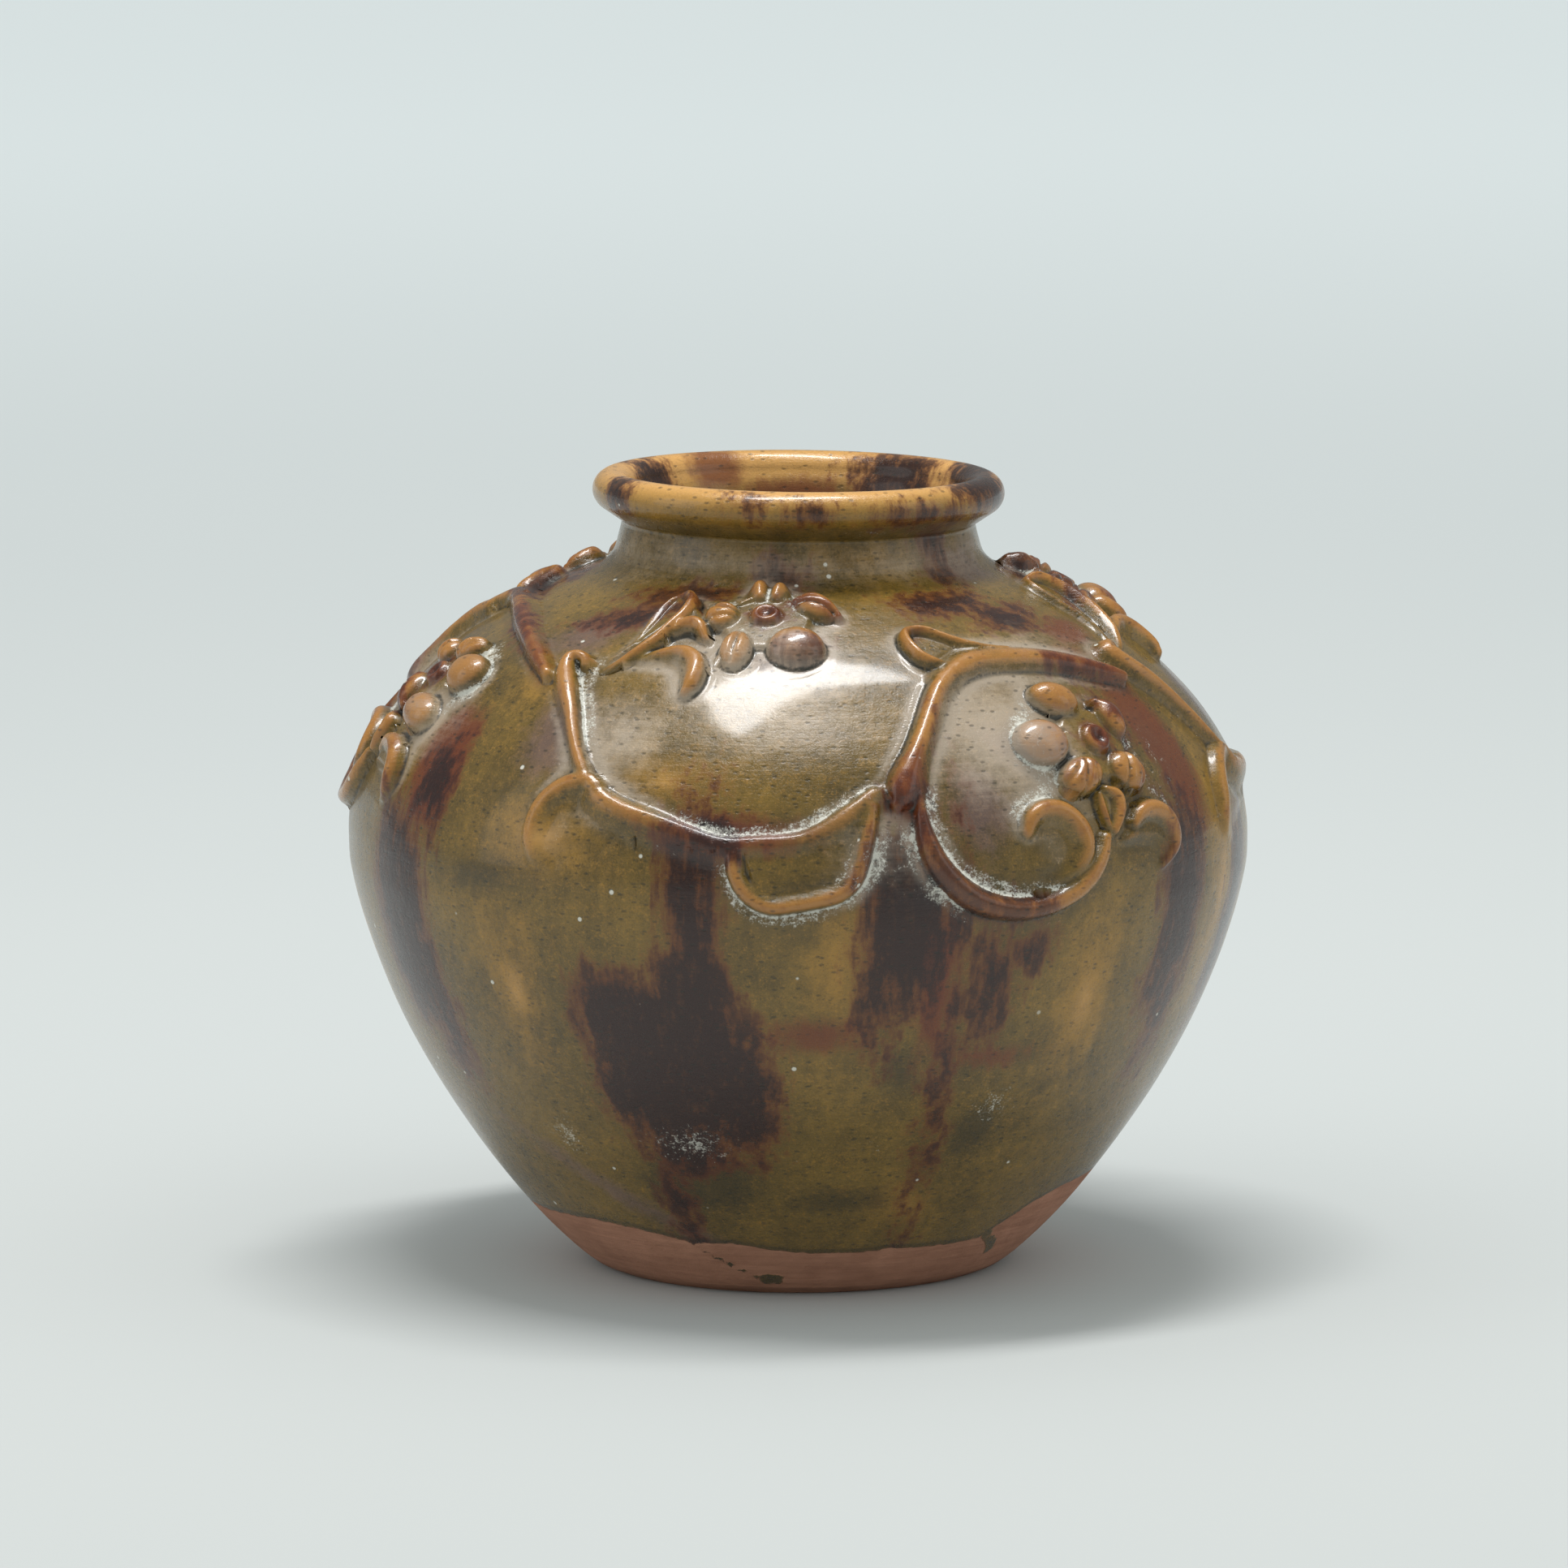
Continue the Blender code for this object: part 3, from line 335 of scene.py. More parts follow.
RIDGES = (
    # The hook: its curl, then its shaft
    Ridge(Half.UPPER, (
        (-38.4, 34.9, 1.2, 2.6), (-38.9, 36.0, 1.4, 3.6), (-40.3, 36.5, 1.7, 4.2), (-41.7, 35.4, 2.1, 4.4),
        (-41.0, 33.0, 2.4, 4.4), (-38.9, 30.0, 2.4, 4.3), (-37.0, 27.5, 2.2, 4.1), (-35.2, 24.9, 2.0, 3.8),
        (-33.6, 22.2, 1.8, 3.5), (-31.9, 19.5, 1.7, 3.2), (-30.3, 17.1, 1.7, 3.0),
        (-29.0, 15.2, 1.8, 2.9)), Edge.CRISP, Edge.ROUND),
    # The lobe leaf's rolled rim, its outside on the right hand
    Ridge(Half.TIED, (
        (-27.2, 14.4, 2.0, 2.8), (-29.0, 15.0, 2.3, 3.2), (-31.0, 14.5, 2.4, 3.3), (-32.9, 13.3, 2.4, 3.3),
        (-34.4, 11.5, 2.4, 3.2), (-35.2, 9.4, 2.3, 3.0), (-35.5, 7.4, 2.1, 2.4), (-35.0, 5.8, 2.0, 1.5),
        (-33.9, 4.6, 1.8, 0.4)), Edge.SOFT, Edge.CRISP),
    # The trough swells below its sharp upper edge
    Ridge(Half.TIED, (
        (-28.2, 15.2, 1.8, 2.8), (-26.5, 13.2, 2.2, 3.2), (-23.6, 11.7, 2.4, 3.2), (-20.4, 10.8, 2.3, 3.0),
        (-17.2, 9.9, 2.2, 2.7), (-14.0, 8.9, 2.0, 2.3), (-10.0, 7.8, 1.9, 2.0), (-5.0, 7.9, 1.9, 2.2),
        (0.0, 8.3, 2.0, 2.5), (3.2, 9.6, 2.1, 2.7), (5.6, 11.1, 2.2, 2.9), (7.8, 12.7, 2.0, 2.7),
        (9.6, 14.3, 1.6, 1.9)), Edge.CRISP, Edge.LONG),
    # The hanging leaf's rim, its outside on the right hand
    Ridge(Half.TIED, (
        (-8.3, 6.6, 1.4, 2.0), (-8.0, 4.6, 1.6, 2.8), (-7.0, 2.6, 1.7, 3.2), (-5.3, 1.1, 1.8, 3.4),
        (-3.2, 0.4, 1.8, 3.5), (-0.6, 0.7, 1.8, 3.5), (2.2, 1.2, 1.8, 3.5), (4.8, 1.9, 1.8, 3.5),
        (6.6, 3.4, 1.8, 3.5), (7.5, 5.4, 1.9, 3.4), (8.1, 7.8, 2.0, 3.2), (8.7, 10.2, 1.9, 2.8),
        (9.2, 12.4, 1.6, 2.4)), Edge.SOFT, Edge.CRISP),
    # The calyx blade: its tall ridge, and its thin left rim
    Ridge(Half.UPPER, (
        (-29.0, 59.8, 1.0, 2.6), (-27.0, 58.9, 1.3, 3.9), (-25.3, 56.6, 1.6, 4.3), (-24.7, 53.4, 1.7, 4.4),
        (-24.9, 50.2, 1.7, 4.4), (-25.8, 46.8, 1.7, 4.3), (-27.4, 43.0, 1.6, 4.0), (-29.6, 39.5, 1.5, 3.4),
        (-32.1, 36.8, 1.3, 2.2), (-34.6, 35.0, 1.1, 0.8)), Edge.CRISP, Edge.ROUND),
    Ridge(Half.UPPER, (
        (-29.6, 59.4, 0.8, 2.4), (-31.4, 57.4, 0.9, 2.1), (-32.2, 54.0, 0.9, 1.9), (-32.2, 50.0, 0.9, 1.7),
        (-32.0, 46.5, 0.9, 1.5), (-32.6, 43.0, 0.8, 1.1), (-34.0, 39.6, 0.8, 0.6)), Edge.ROUND, Edge.ROUND),
    # The sepal and the comma leaf below it
    Ridge(Half.UPPER, (
        (-25.2, 45.4, 1.3, 2.8), (-23.5, 47.3, 1.9, 4.0), (-21.5, 47.8, 2.1, 4.5), (-19.9, 46.8, 1.9, 4.3),
        (-18.7, 45.0, 1.3, 3.3), (-17.5, 43.9, 0.8, 1.8))),
    Ridge(Half.UPPER, (
        (-30.5, 37.9, 1.1, 0.7), (-28.2, 38.5, 1.3, 1.5), (-25.6, 39.2, 1.6, 2.5), (-22.8, 39.7, 1.9, 3.4),
        (-20.2, 39.3, 2.2, 4.0), (-18.2, 37.4, 2.4, 4.2), (-17.5, 34.8, 2.3, 4.2), (-17.6, 32.4, 2.0, 4.0),
        (-18.1, 30.9, 1.3, 3.0)), Edge.CRISP, Edge.ROUND),
    # The hook leaf's lower rim, and its upper one, which runs into the arch
    Ridge(Half.HOOKED, (
        (22.4, 46.4, 1.0, 2.8), (20.9, 45.4, 1.2, 3.5), (20.3, 43.2, 1.4, 3.8), (20.6, 40.7, 1.5, 3.9),
        (21.5, 38.4, 1.5, 3.8), (23.0, 37.1, 1.4, 3.4), (24.7, 36.4, 1.2, 2.7), (26.1, 36.0, 1.0, 1.8)),
        Edge.ROUND, Edge.CRISP),
    Ridge(Half.HOOKED, (
        (21.3, 46.0, 0.9, 2.9), (23.3, 46.4, 1.1, 3.2), (25.5, 45.7, 1.1, 3.2), (27.7, 44.0, 1.1, 3.1),
        (29.9, 42.2, 1.2, 3.1), (32.4, 40.5, 1.3, 3.2), (35.4, 39.2, 1.3, 3.2), (39.0, 38.3, 1.3, 3.2)),
        Edge.ROUND, Edge.ROUND),
    # The bulb stem and the loop
    Ridge(Half.LOWER, (
        (27.0, 34.7, 2.2, 3.5), (24.6, 33.0, 2.3, 3.8), (22.4, 30.9, 2.4, 4.0), (20.7, 28.3, 2.4, 4.0),
        (19.1, 25.3, 2.4, 4.0), (17.5, 22.4, 2.4, 4.0), (16.1, 19.8, 2.5, 4.1), (15.0, 17.7, 3.0, 4.3),
        (14.1, 15.7, 3.5, 4.4), (13.3, 13.9, 3.1, 4.0), (12.6, 12.7, 1.6, 2.6)), Edge.ROUND, Edge.CRISP),
    Ridge(Half.LOWER, (
        (15.9, 15.5, 0.8, 1.5), (15.6, 12.9, 1.1, 2.3), (15.6, 10.5, 1.6, 3.0), (16.0, 8.0, 2.2, 3.7),
        (17.2, 5.2, 2.5, 3.9), (19.2, 2.7, 2.6, 4.0), (21.9, 0.7, 2.6, 4.0), (25.2, -0.5, 2.4, 3.9),
        (28.6, -0.9, 2.2, 3.8), (32.0, -0.6, 2.2, 3.7), (35.3, 0.4, 2.2, 3.6), (38.1, 2.2, 2.2, 3.5),
        (40.2, 4.5, 2.0, 3.3), (41.3, 6.6, 1.5, 2.8))),
    # The loop's leaves
    Ridge(Half.LOWER, (
        (29.6, 8.4, 1.4, 2.6), (30.5, 10.1, 1.9, 3.6), (32.2, 10.9, 2.1, 3.8), (34.4, 10.8, 2.2, 3.8),
        (36.3, 9.6, 2.3, 3.8), (37.6, 7.6, 2.4, 3.8), (37.8, 5.6, 2.3, 3.5), (36.8, 3.8, 2.1, 2.7),
        (35.0, 2.6, 1.8, 1.5), (33.2, 2.0, 1.4, 0.4)), Edge.CRISP, Edge.SOFT),
    Ridge(Half.LOWER, (
        (42.9, 12.5, 1.2, 3.0), (44.1, 11.6, 1.7, 4.1), (44.2, 10.2, 1.7, 4.2), (43.6, 8.8, 1.5, 4.0),
        (42.8, 7.4, 1.2, 3.2)), Edge.CRISP, Edge.ROUND),
    Ridge(Half.LOWER, (
        (41.6, 12.0, 1.0, 2.6), (41.5, 10.4, 1.1, 3.0), (41.8, 8.8, 1.0, 2.8), (42.2, 7.6, 0.9, 2.4)),
        Edge.ROUND, Edge.CRISP),
    Ridge(Half.LOWER, (
        (46.6, 7.9, 1.4, 2.8), (48.2, 9.1, 1.9, 3.9), (50.5, 9.2, 2.2, 4.3), (52.5, 8.2, 2.3, 4.3),
        (53.6, 6.4, 2.2, 4.2), (53.6, 4.6, 2.0, 3.7), (52.8, 3.2, 1.5, 2.6), (51.9, 2.2, 1.0, 1.2)),
        Edge.CRISP, Edge.SOFT),
    # Folds of the petals
    Ridge(Half.UPPER_BLOOM, ((-3.4, 14.6, 1.7, 3.4), (-3.2, 11.0, 2.0, 4.6), (-2.6, 7.4, 1.6, 3.8)),
          Edge.CRISP, Edge.ROUND),
    Ridge(Half.UPPER_BLOOM, ((2.4, 13.4, 1.5, 3.3), (2.0, 10.2, 1.9, 4.5), (1.6, 7.2, 1.5, 3.6)),
          Edge.ROUND, Edge.CRISP),
    Ridge(Half.UPPER_BLOOM, ((-6.6, 4.6, 0.8, 2.2), (-4.4, 6.4, 0.9, 2.6), (-2.2, 7.6, 0.8, 2.2)),
          Edge.ROUND, Edge.ROUND),
    Ridge(Half.UPPER_BLOOM, ((6.4, 5.4, 1.2, 3.2), (10.0, 6.2, 1.5, 4.4), (13.4, 3.8, 1.4, 4.0),
                             (15.6, 0.4, 1.0, 2.6)), Edge.CRISP, Edge.ROUND),
    Ridge(Half.LOWER_BLOOM, ((4.2, 5.8, 1.2, 3.2), (5.2, 3.4, 1.7, 4.9), (5.4, 0.6, 1.4, 4.2))),
)

# Grooves pressed into the relief: (across, up, half width in mm, depth in mm)
GROOVES = {
    Half.TIED: (
        ((-28.4, 10.7, 0.5, 0.3), (-25.0, 9.4, 0.5, 0.45), (-21.2, 7.6, 0.5, 0.3)),
        ((-6.9, 7.0, 0.45, 0.6), (-6.7, 5.6, 0.5, 1.6), (-6.3, 4.2, 0.7, 1.5), (-5.8, 3.2, 0.6, 0.4)),
    ),
    Half.UPPER: (
        ((-30.2, 58.4, 0.45, 0.6), (-30.6, 54.0, 0.45, 0.8), (-30.8, 48.0, 0.45, 0.7),
         (-31.6, 42.6, 0.4, 0.3)),
        ((-25.0, 44.3, 0.6, 0.9), (-22.6, 45.3, 0.6, 1.5), (-20.6, 45.4, 0.6, 1.6),
         (-18.9, 44.2, 0.5, 1.2)),
        ((-21.2, 46.8, 0.35, 0.5), (-19.9, 45.9, 0.35, 0.5)),
    ),
    Half.UPPER_BLOOM: (
        ((-0.4, 15.2, 0.8, 1.6), (-0.4, 11.0, 0.9, 1.7), (-0.4, 7.2, 0.7, 1.2)),
        ((-4.9, -14.4, 0.5, 1.2), (-4.6, -10.6, 0.6, 1.9), (-4.4, -7.0, 0.5, 1.2)),
        ((6.8, 4.0, 0.45, 1.2), (10.6, 3.3, 0.5, 1.6), (14.6, 0.8, 0.5, 1.3)),
        ((-13.6, 2.2, 0.5, 1.2), (-9.8, 1.0, 0.5, 1.5), (-6.4, 0.4, 0.4, 1.0)),
        ((-12.4, -2.8, 0.4, 0.9), (-9.2, -2.0, 0.4, 1.1), (-6.8, -1.4, 0.4, 0.7)),
        ((3.2, -11.8, 0.4, 0.3), (5.4, -6.8, 0.4, 0.4)),
    ),
    Half.LOWER_BLOOM: (
        ((-6.4, 3.4, 0.5, 0.7), (-5.2, 2.4, 0.5, 1.5), (-4.4, 1.9, 0.4, 1.0)),
        ((-5.9, -7.4, 0.4, 0.9), (-4.9, -5.0, 0.5, 1.4), (-4.2, -3.2, 0.4, 1.0)),
        ((-8.2, -6.0, 0.35, 0.7), (-6.4, -4.6, 0.4, 1.2), (-5.4, -3.4, 0.35, 0.8)),
        ((-3.2, -7.0, 0.35, 0.7), (-3.1, -4.2, 0.35, 0.8)),
        ((1.6, -7.6, 0.4, 1.0), (2.6, -5.0, 0.45, 1.5), (3.4, -3.0, 0.4, 1.1)),
        ((4.4, -7.2, 0.4, 0.9), (5.0, -4.8, 0.4, 1.3), (5.2, -3.2, 0.35, 0.8)),
        ((6.6, 0.2, 0.5, 0.8), (6.9, 3.2, 0.6, 1.4), (6.0, 6.0, 0.5, 0.9)),
    ),
}

# Tones that run along a course: (across, up, half width in mm)
STAINS = {
    (Half.LOWER, Tone.BROWN): (
        ((15.8, 11.0, 2.0), (16.6, 6.4, 2.8), (20.4, 1.6, 3.0), (26.0, -0.8, 3.0), (30.6, -1.0, 2.2)),
        ((14.4, 14.0, 2.0), (12.8, 12.6, 2.6)),
    ),
    (Half.LOWER, Tone.RED): (
        ((16.8, 20.6, 1.0), (15.2, 17.6, 3.6), (13.4, 13.4, 4.2), (15.6, 8.0, 3.0)),
    ),
    (Half.ARCHED, Tone.RED): (
        ((46.0, 35.8, 2.0), (54.0, 34.2, 3.2), (64.0, 32.0, 2.8), (74.0, 30.0, 2.2)),
    ),
    (Half.ARCHED, Tone.BROWN): (
        ((48.0, 34.8, 1.0), (54.0, 33.6, 1.6), (62.0, 32.0, 1.2)),
    ),
    (Half.HOOKED, Tone.RED): (
        ((22.6, 45.4, 1.2), (22.4, 43.8, 0.8)),
    ),
    (Half.LOWER_BLOOM, Tone.RED): (
        ((3.8, 6.4, 1.6), (5.6, 2.2, 2.4)),
        ((0.0, 0.0, 4.4), (0.4, -0.4, 4.4)),
        ((4.6, -7.0, 1.4), (7.4, -4.0, 1.2)),
    ),
    (Half.LOWER_BLOOM, Tone.BROWN): (
        ((6.2, 5.0, 1.6), (7.2, 1.6, 2.0), (6.6, -0.8, 1.2)),
        ((0.2, 0.0, 1.9), (0.4, -0.4, 1.9)),
    ),
    (Half.UPPER_BLOOM, Tone.BROWN): (
        ((2.2, -12.2, 0.8), (6.0, -14.2, 1.4), (10.6, -11.0, 1.3), (11.4, -7.6, 0.8)),
        ((0.2, 0.2, 1.7), (1.2, 0.4, 1.7)),
    ),
    (Half.UPPER_BLOOM, Tone.RED): (
        ((4.0, -11.0, 2.6), (9.0, -10.0, 2.6)),
        ((5.6, 5.0, 1.6), (11.0, 4.4, 2.4), (15.0, 0.6, 1.8)),
        ((-1.0, 0.0, 3.4), (1.0, 0.0, 3.4)),
    ),
    (Half.UPPER, Tone.CRUST): (
        ((-36.6, 33.8, 3.6), (-35.2, 30.0, 2.8), (-33.8, 26.0, 2.2), (-31.8, 21.6, 1.6)),
    ),
    (Half.TIED, Tone.CRUST): (
        ((-16.0, 10.4, 1.4), (-10.0, 9.2, 2.4), (-4.0, 9.4, 1.6), (2.0, 10.4, 2.2), (9.4, 14.8, 1.8)),
        ((-9.4, 4.4, 1.2), (-6.6, 0.4, 1.8), (-2.6, -1.6, 1.9), (3.0, -0.2, 1.6), (7.8, 3.2, 1.8),
         (9.6, 7.6, 1.6)),
    ),
    (Half.UPPER_BLOOM, Tone.CRUST): (
        ((-9.0, 5.0, 3.0), (-3.0, 6.0, 2.6), (3.0, 8.0, 3.0), (7.6, 0.0, 2.6), (1.0, -5.0, 2.6),
         (-5.6, -4.4, 2.4)),
    ),
    (Half.LOWER_BLOOM, Tone.CRUST): (
        ((-9.6, 7.0, 2.0), (-11.6, 1.0, 3.0), (-9.6, -5.4, 2.2)),
        ((7.4, -1.6, 1.6), (9.4, -6.0, 2.4), (9.6, -11.0, 1.8)),
    ),
    (Half.LOWER, Tone.CRUST): (
        ((28.4, 11.6, 1.8), (30.4, 13.0, 1.8), (34.0, 13.4, 1.4)),
        ((17.4, 14.0, 1.6), (17.4, 9.4, 1.4), (19.6, 5.2, 1.6), (23.4, 2.6, 1.8), (29.0, 1.2, 1.8),
         (33.0, 1.2, 1.4)),
    ),
    (Half.LOWER, Tone.GREEN): (
        ((29.0, 0.4, 1.8), (32.6, 0.0, 2.2), (35.0, 0.2, 1.4)),
    ),
    (Half.TIED, Tone.GREEN): (
        ((-23.0, 10.8, 1.6), (-18.0, 8.6, 1.8)),
        ((-3.0, 2.2, 1.2), (1.4, 3.0, 1.9), (5.0, 3.4, 1.2)),
    ),
}


@dataclass(frozen=True)
class Leaf:
    """The drawing of a leaf: its outline on the map, its middle, and its sheet in mm."""

    half: Half
    outline: Course
    middle: tuple[float, float]
    level: float
    softness: float = 2.5
    apron: float = 3.2


LEAVES = {
    "lobe_leaf": Leaf(Half.UPPER, (
        (-30.9, 15.6), (-33.2, 14.9), (-35.3, 13.2), (-36.5, 10.8), (-36.7, 8.2), (-35.9, 6.0),
        (-34.0, 4.9), (-31.0, 4.9), (-27.8, 5.6), (-24.8, 6.6), (-23.4, 7.6), (-25.6, 9.0),
        (-28.0, 10.8), (-29.7, 13.2)), (-31.8, 9.2), 0.7, 6.0, 6.0),
    "hanging_leaf": Leaf(Half.TIED, (
        (-7.9, 6.6), (-8.8, 5.4), (-8.1, 3.1), (-6.3, 0.8), (-4.0, -0.7), (-1.0, -0.5), (2.0, 0.1),
        (5.0, 0.8), (7.2, 2.4), (8.3, 4.7), (8.8, 7.3), (9.3, 9.8), (8.5, 11.4), (5.0, 9.4), (0.6, 7.8),
        (-4.0, 7.0)), (1.6, 4.4), 1.3, 3.0),
    "calyx_blade": Leaf(Half.UPPER, (
        (-28.8, 60.4), (-26.6, 59.5), (-25.4, 57.1), (-25.2, 53.9), (-26.0, 50.3), (-27.5, 46.5),
        (-29.7, 42.7), (-32.3, 39.1), (-34.6, 36.4), (-36.0, 37.0), (-34.6, 40.0), (-33.2, 43.6),
        (-32.8, 47.6), (-33.1, 51.6), (-32.8, 55.5), (-31.2, 58.8)), (-29.2, 47.2), 1.3, 2.0),
    "calyx_sepal": Leaf(Half.UPPER, (
        (-25.7, 44.7), (-25.1, 47.6), (-23.6, 49.6), (-21.6, 49.8), (-20.0, 48.5), (-18.7, 46.3),
        (-17.3, 44.1), (-18.4, 43.6), (-20.4, 44.9), (-22.6, 44.7), (-24.2, 44.0)), (-22.0, 47.6), 1.6,
        1.5),
    "calyx_comma_leaf": Leaf(Half.UPPER, (
        (-28.4, 40.0), (-25.0, 41.3), (-21.6, 41.6), (-18.7, 40.6), (-16.5, 38.3), (-15.6, 35.3),
        (-15.7, 32.0), (-17.1, 29.9), (-18.8, 30.7), (-19.4, 33.3), (-20.8, 35.5), (-23.6, 36.3),
        (-26.8, 36.2), (-29.6, 37.4)), (-18.8, 38.3), 0.8, 3.0, 4.0),
    "hook_leaf": Leaf(Half.HOOKED, (
        (24.3, 36.5), (21.9, 36.2), (20.4, 37.8), (19.8, 40.5), (20.0, 43.5), (20.9, 45.6), (22.4, 46.9),
        (24.9, 46.9), (27.4, 45.5), (29.5, 43.1), (32.0, 41.1), (31.3, 40.2), (28.6, 39.0), (26.3, 37.7)),
        (24.5, 41.6), 0.7, 3.0, 4.0),
    "left_comma_leaf": Leaf(Half.LOWER, (
        (29.5, 8.2), (29.9, 10.2), (31.6, 11.8), (34.0, 12.1), (36.4, 11.1), (38.2, 9.1), (39.0, 6.7),
        (38.1, 4.5), (36.3, 3.2), (33.9, 2.2), (31.4, 2.4), (29.4, 3.9), (28.8, 6.1)), (33.7, 7.0), 0.5,
        5.0, 5.0),
    "loop_sepal": Leaf(Half.LOWER, (
        (42.2, 7.1), (41.4, 7.9), (41.2, 9.6), (40.9, 11.4), (42.3, 12.7), (44.0, 12.5), (45.3, 11.1),
        (44.4, 9.2), (43.2, 7.6)), (42.9, 10.3), 1.6, 1.5),
    "right_comma_leaf": Leaf(Half.LOWER, (
        (46.0, 8.3), (46.3, 9.8), (48.2, 10.5), (51.0, 10.3), (53.4, 9.0), (54.8, 6.9), (54.6, 4.6),
        (53.2, 2.7), (51.6, 1.9), (50.9, 3.4), (49.9, 4.6), (47.4, 5.0), (44.8, 5.1), (42.9, 5.8),
        (44.4, 7.0)), (51.5, 7.2), 1.9, 3.5, 4.0),
}


@dataclass(frozen=True)
class Bloom:
    """The drawing of a flower: its boss and pad on the map, and its petals about the boss.

    A petal is (across, up, half length, half width, tilt in degrees, height in mm).
    """

    boss: tuple[float, float]
    boss_radius: float
    pad_radius: float
    petals: Course
    pad_height: float = 1.4
    boss_height: float = 4.6


BLOOMS = {
    "upper": Bloom((-7.0, 51.9), 3.7, 10.4, (
        (-0.3, 10.4, 5.2, 4.6, 0, 3.6), (10.6, 3.7, 5.6, 4.1, -35, 4.4), (6.5, -9.7, 5.5, 5.0, 0, 5.6),
        (-4.6, -10.5, 3.1, 4.9, 0, 4.8), (-9.6, -0.1, 4.0, 4.5, 0, 4.4))),
    "lower": Bloom((44.8, 19.7), 2.5, 6.1, (
        (-3.2, 7.5, 4.4, 3.0, -25, 5.2), (-9.3, 0.6, 4.4, 3.7, 0, 5.4), (-5.0, -4.9, 3.8, 2.6, 15, 4.9),
        (3.2, -5.1, 3.3, 2.8, -30, 5.0), (5.4, 2.9, 2.4, 3.6, 0, 4.8))),
}


@dataclass
class Repeat:
    """One repeat of the vine: where its halves lie on the map."""

    number: int
    upper: tuple[float, float]
    lower: tuple[float, float]
    following: tuple[float, float]
    arch_rise: float
    upper_turn: float
    lower_turn: float
    lower_shift: tuple[float, float]
    tie: Course = ((-24.0, 0.0), (-9.5, 0.75), (9.0, 1.0))

    def name(self, piece: str) -> str:
        """The name of a piece of this repeat."""
        return f"{piece}_{self.number}"

    def lean(self, bloom: str) -> float:
        """How far a flower is turned, in degrees."""
        return self.upper_turn if bloom == "upper" else self.lower_turn

    def boss(self, bloom: str) -> Array:
        """The place of a flower's boss."""
        half = self.upper if bloom == "upper" else np.add(self.lower, self.lower_shift)
        return np.add(BLOOMS[bloom].boss, half)

    def turned(self, points: Array, bloom: str) -> Array:
        """Moves points that are drawn about a boss."""
        lean = self.lean(bloom) * DEGREE
        spin = np.array(((math.cos(lean), math.sin(lean)), (-math.sin(lean), math.cos(lean))))
        return points @ spin + self.boss(bloom)

    def arched(self, points: Array) -> Array:
        """Moves points of the arch, which ties this repeat to the next."""
        drawn = np.array(ARCH, float)
        blend = np.interp(points[:, 0], drawn[:, 0], drawn[:, 3])[:, None]
        along = np.interp(points[:, 0], drawn[:, 0], np.linspace(0, 1, len(drawn)))
        rise = self.arch_rise * np.minimum(1.0, np.sin(math.pi * along) + along / 2)
        placed = points + np.array(self.lower) * (1 - blend) + np.array(self.following) * blend
        return placed + np.stack([0 * rise, rise], axis=1)

    def tied(self, points: Array) -> Array:
        """Moves points that tie the two halves of this repeat."""
        share = np.interp(points[:, 0], *np.array(self.tie).T)[:, None]
        return points + np.array(self.upper) * (1 - share) + np.array(self.lower) * share

    def to_map(self, half: Half, drawn: Course) -> Array:
        """Moves a drawing to this repeat. Columns after the first two stay as they are.

        Args:
            half: What it moves with.
            drawn: Its points (across, up, ...).

        Returns:
            The moved points.
        """
        placed = np.array(drawn, float)
        moves = {
            Half.UPPER: lambda at: at + self.upper,
            Half.LOWER: lambda at: at + self.lower,
            Half.HOOKED: lambda at: at + self.lower + np.array((0.0, self.arch_rise)),
            Half.TIED: self.tied,
            Half.ARCHED: self.arched,
            Half.UPPER_BLOOM: lambda at: self.turned(at, "upper"),
            Half.LOWER_BLOOM: lambda at: self.turned(at, "lower"),
        }
        placed[:, :2] = moves[half](placed[:, :2])
        return placed


# The three repeats of the vine round the jar. The hand that set them was not even
REPEATS = (
    Repeat(1, (0.0, 0.0), (0.0, 0.0), (-15.0, -1.0), 0.0, 0.0, 0.0, (0.0, 0.0)),
    Repeat(2, (105.0, -1.0), (120.0, 2.0), (120.0, 1.0), 1.5, -3.0, -12.0, (0.5, 0.3)),
    Repeat(3, (240.0, 1.0), (240.0, 6.5), (240.0, 0.0), 4.2, 3.0, 195.0, (2.2, 1.3)),
)


# ---- the relief -----------------------------------------------------------------------------------


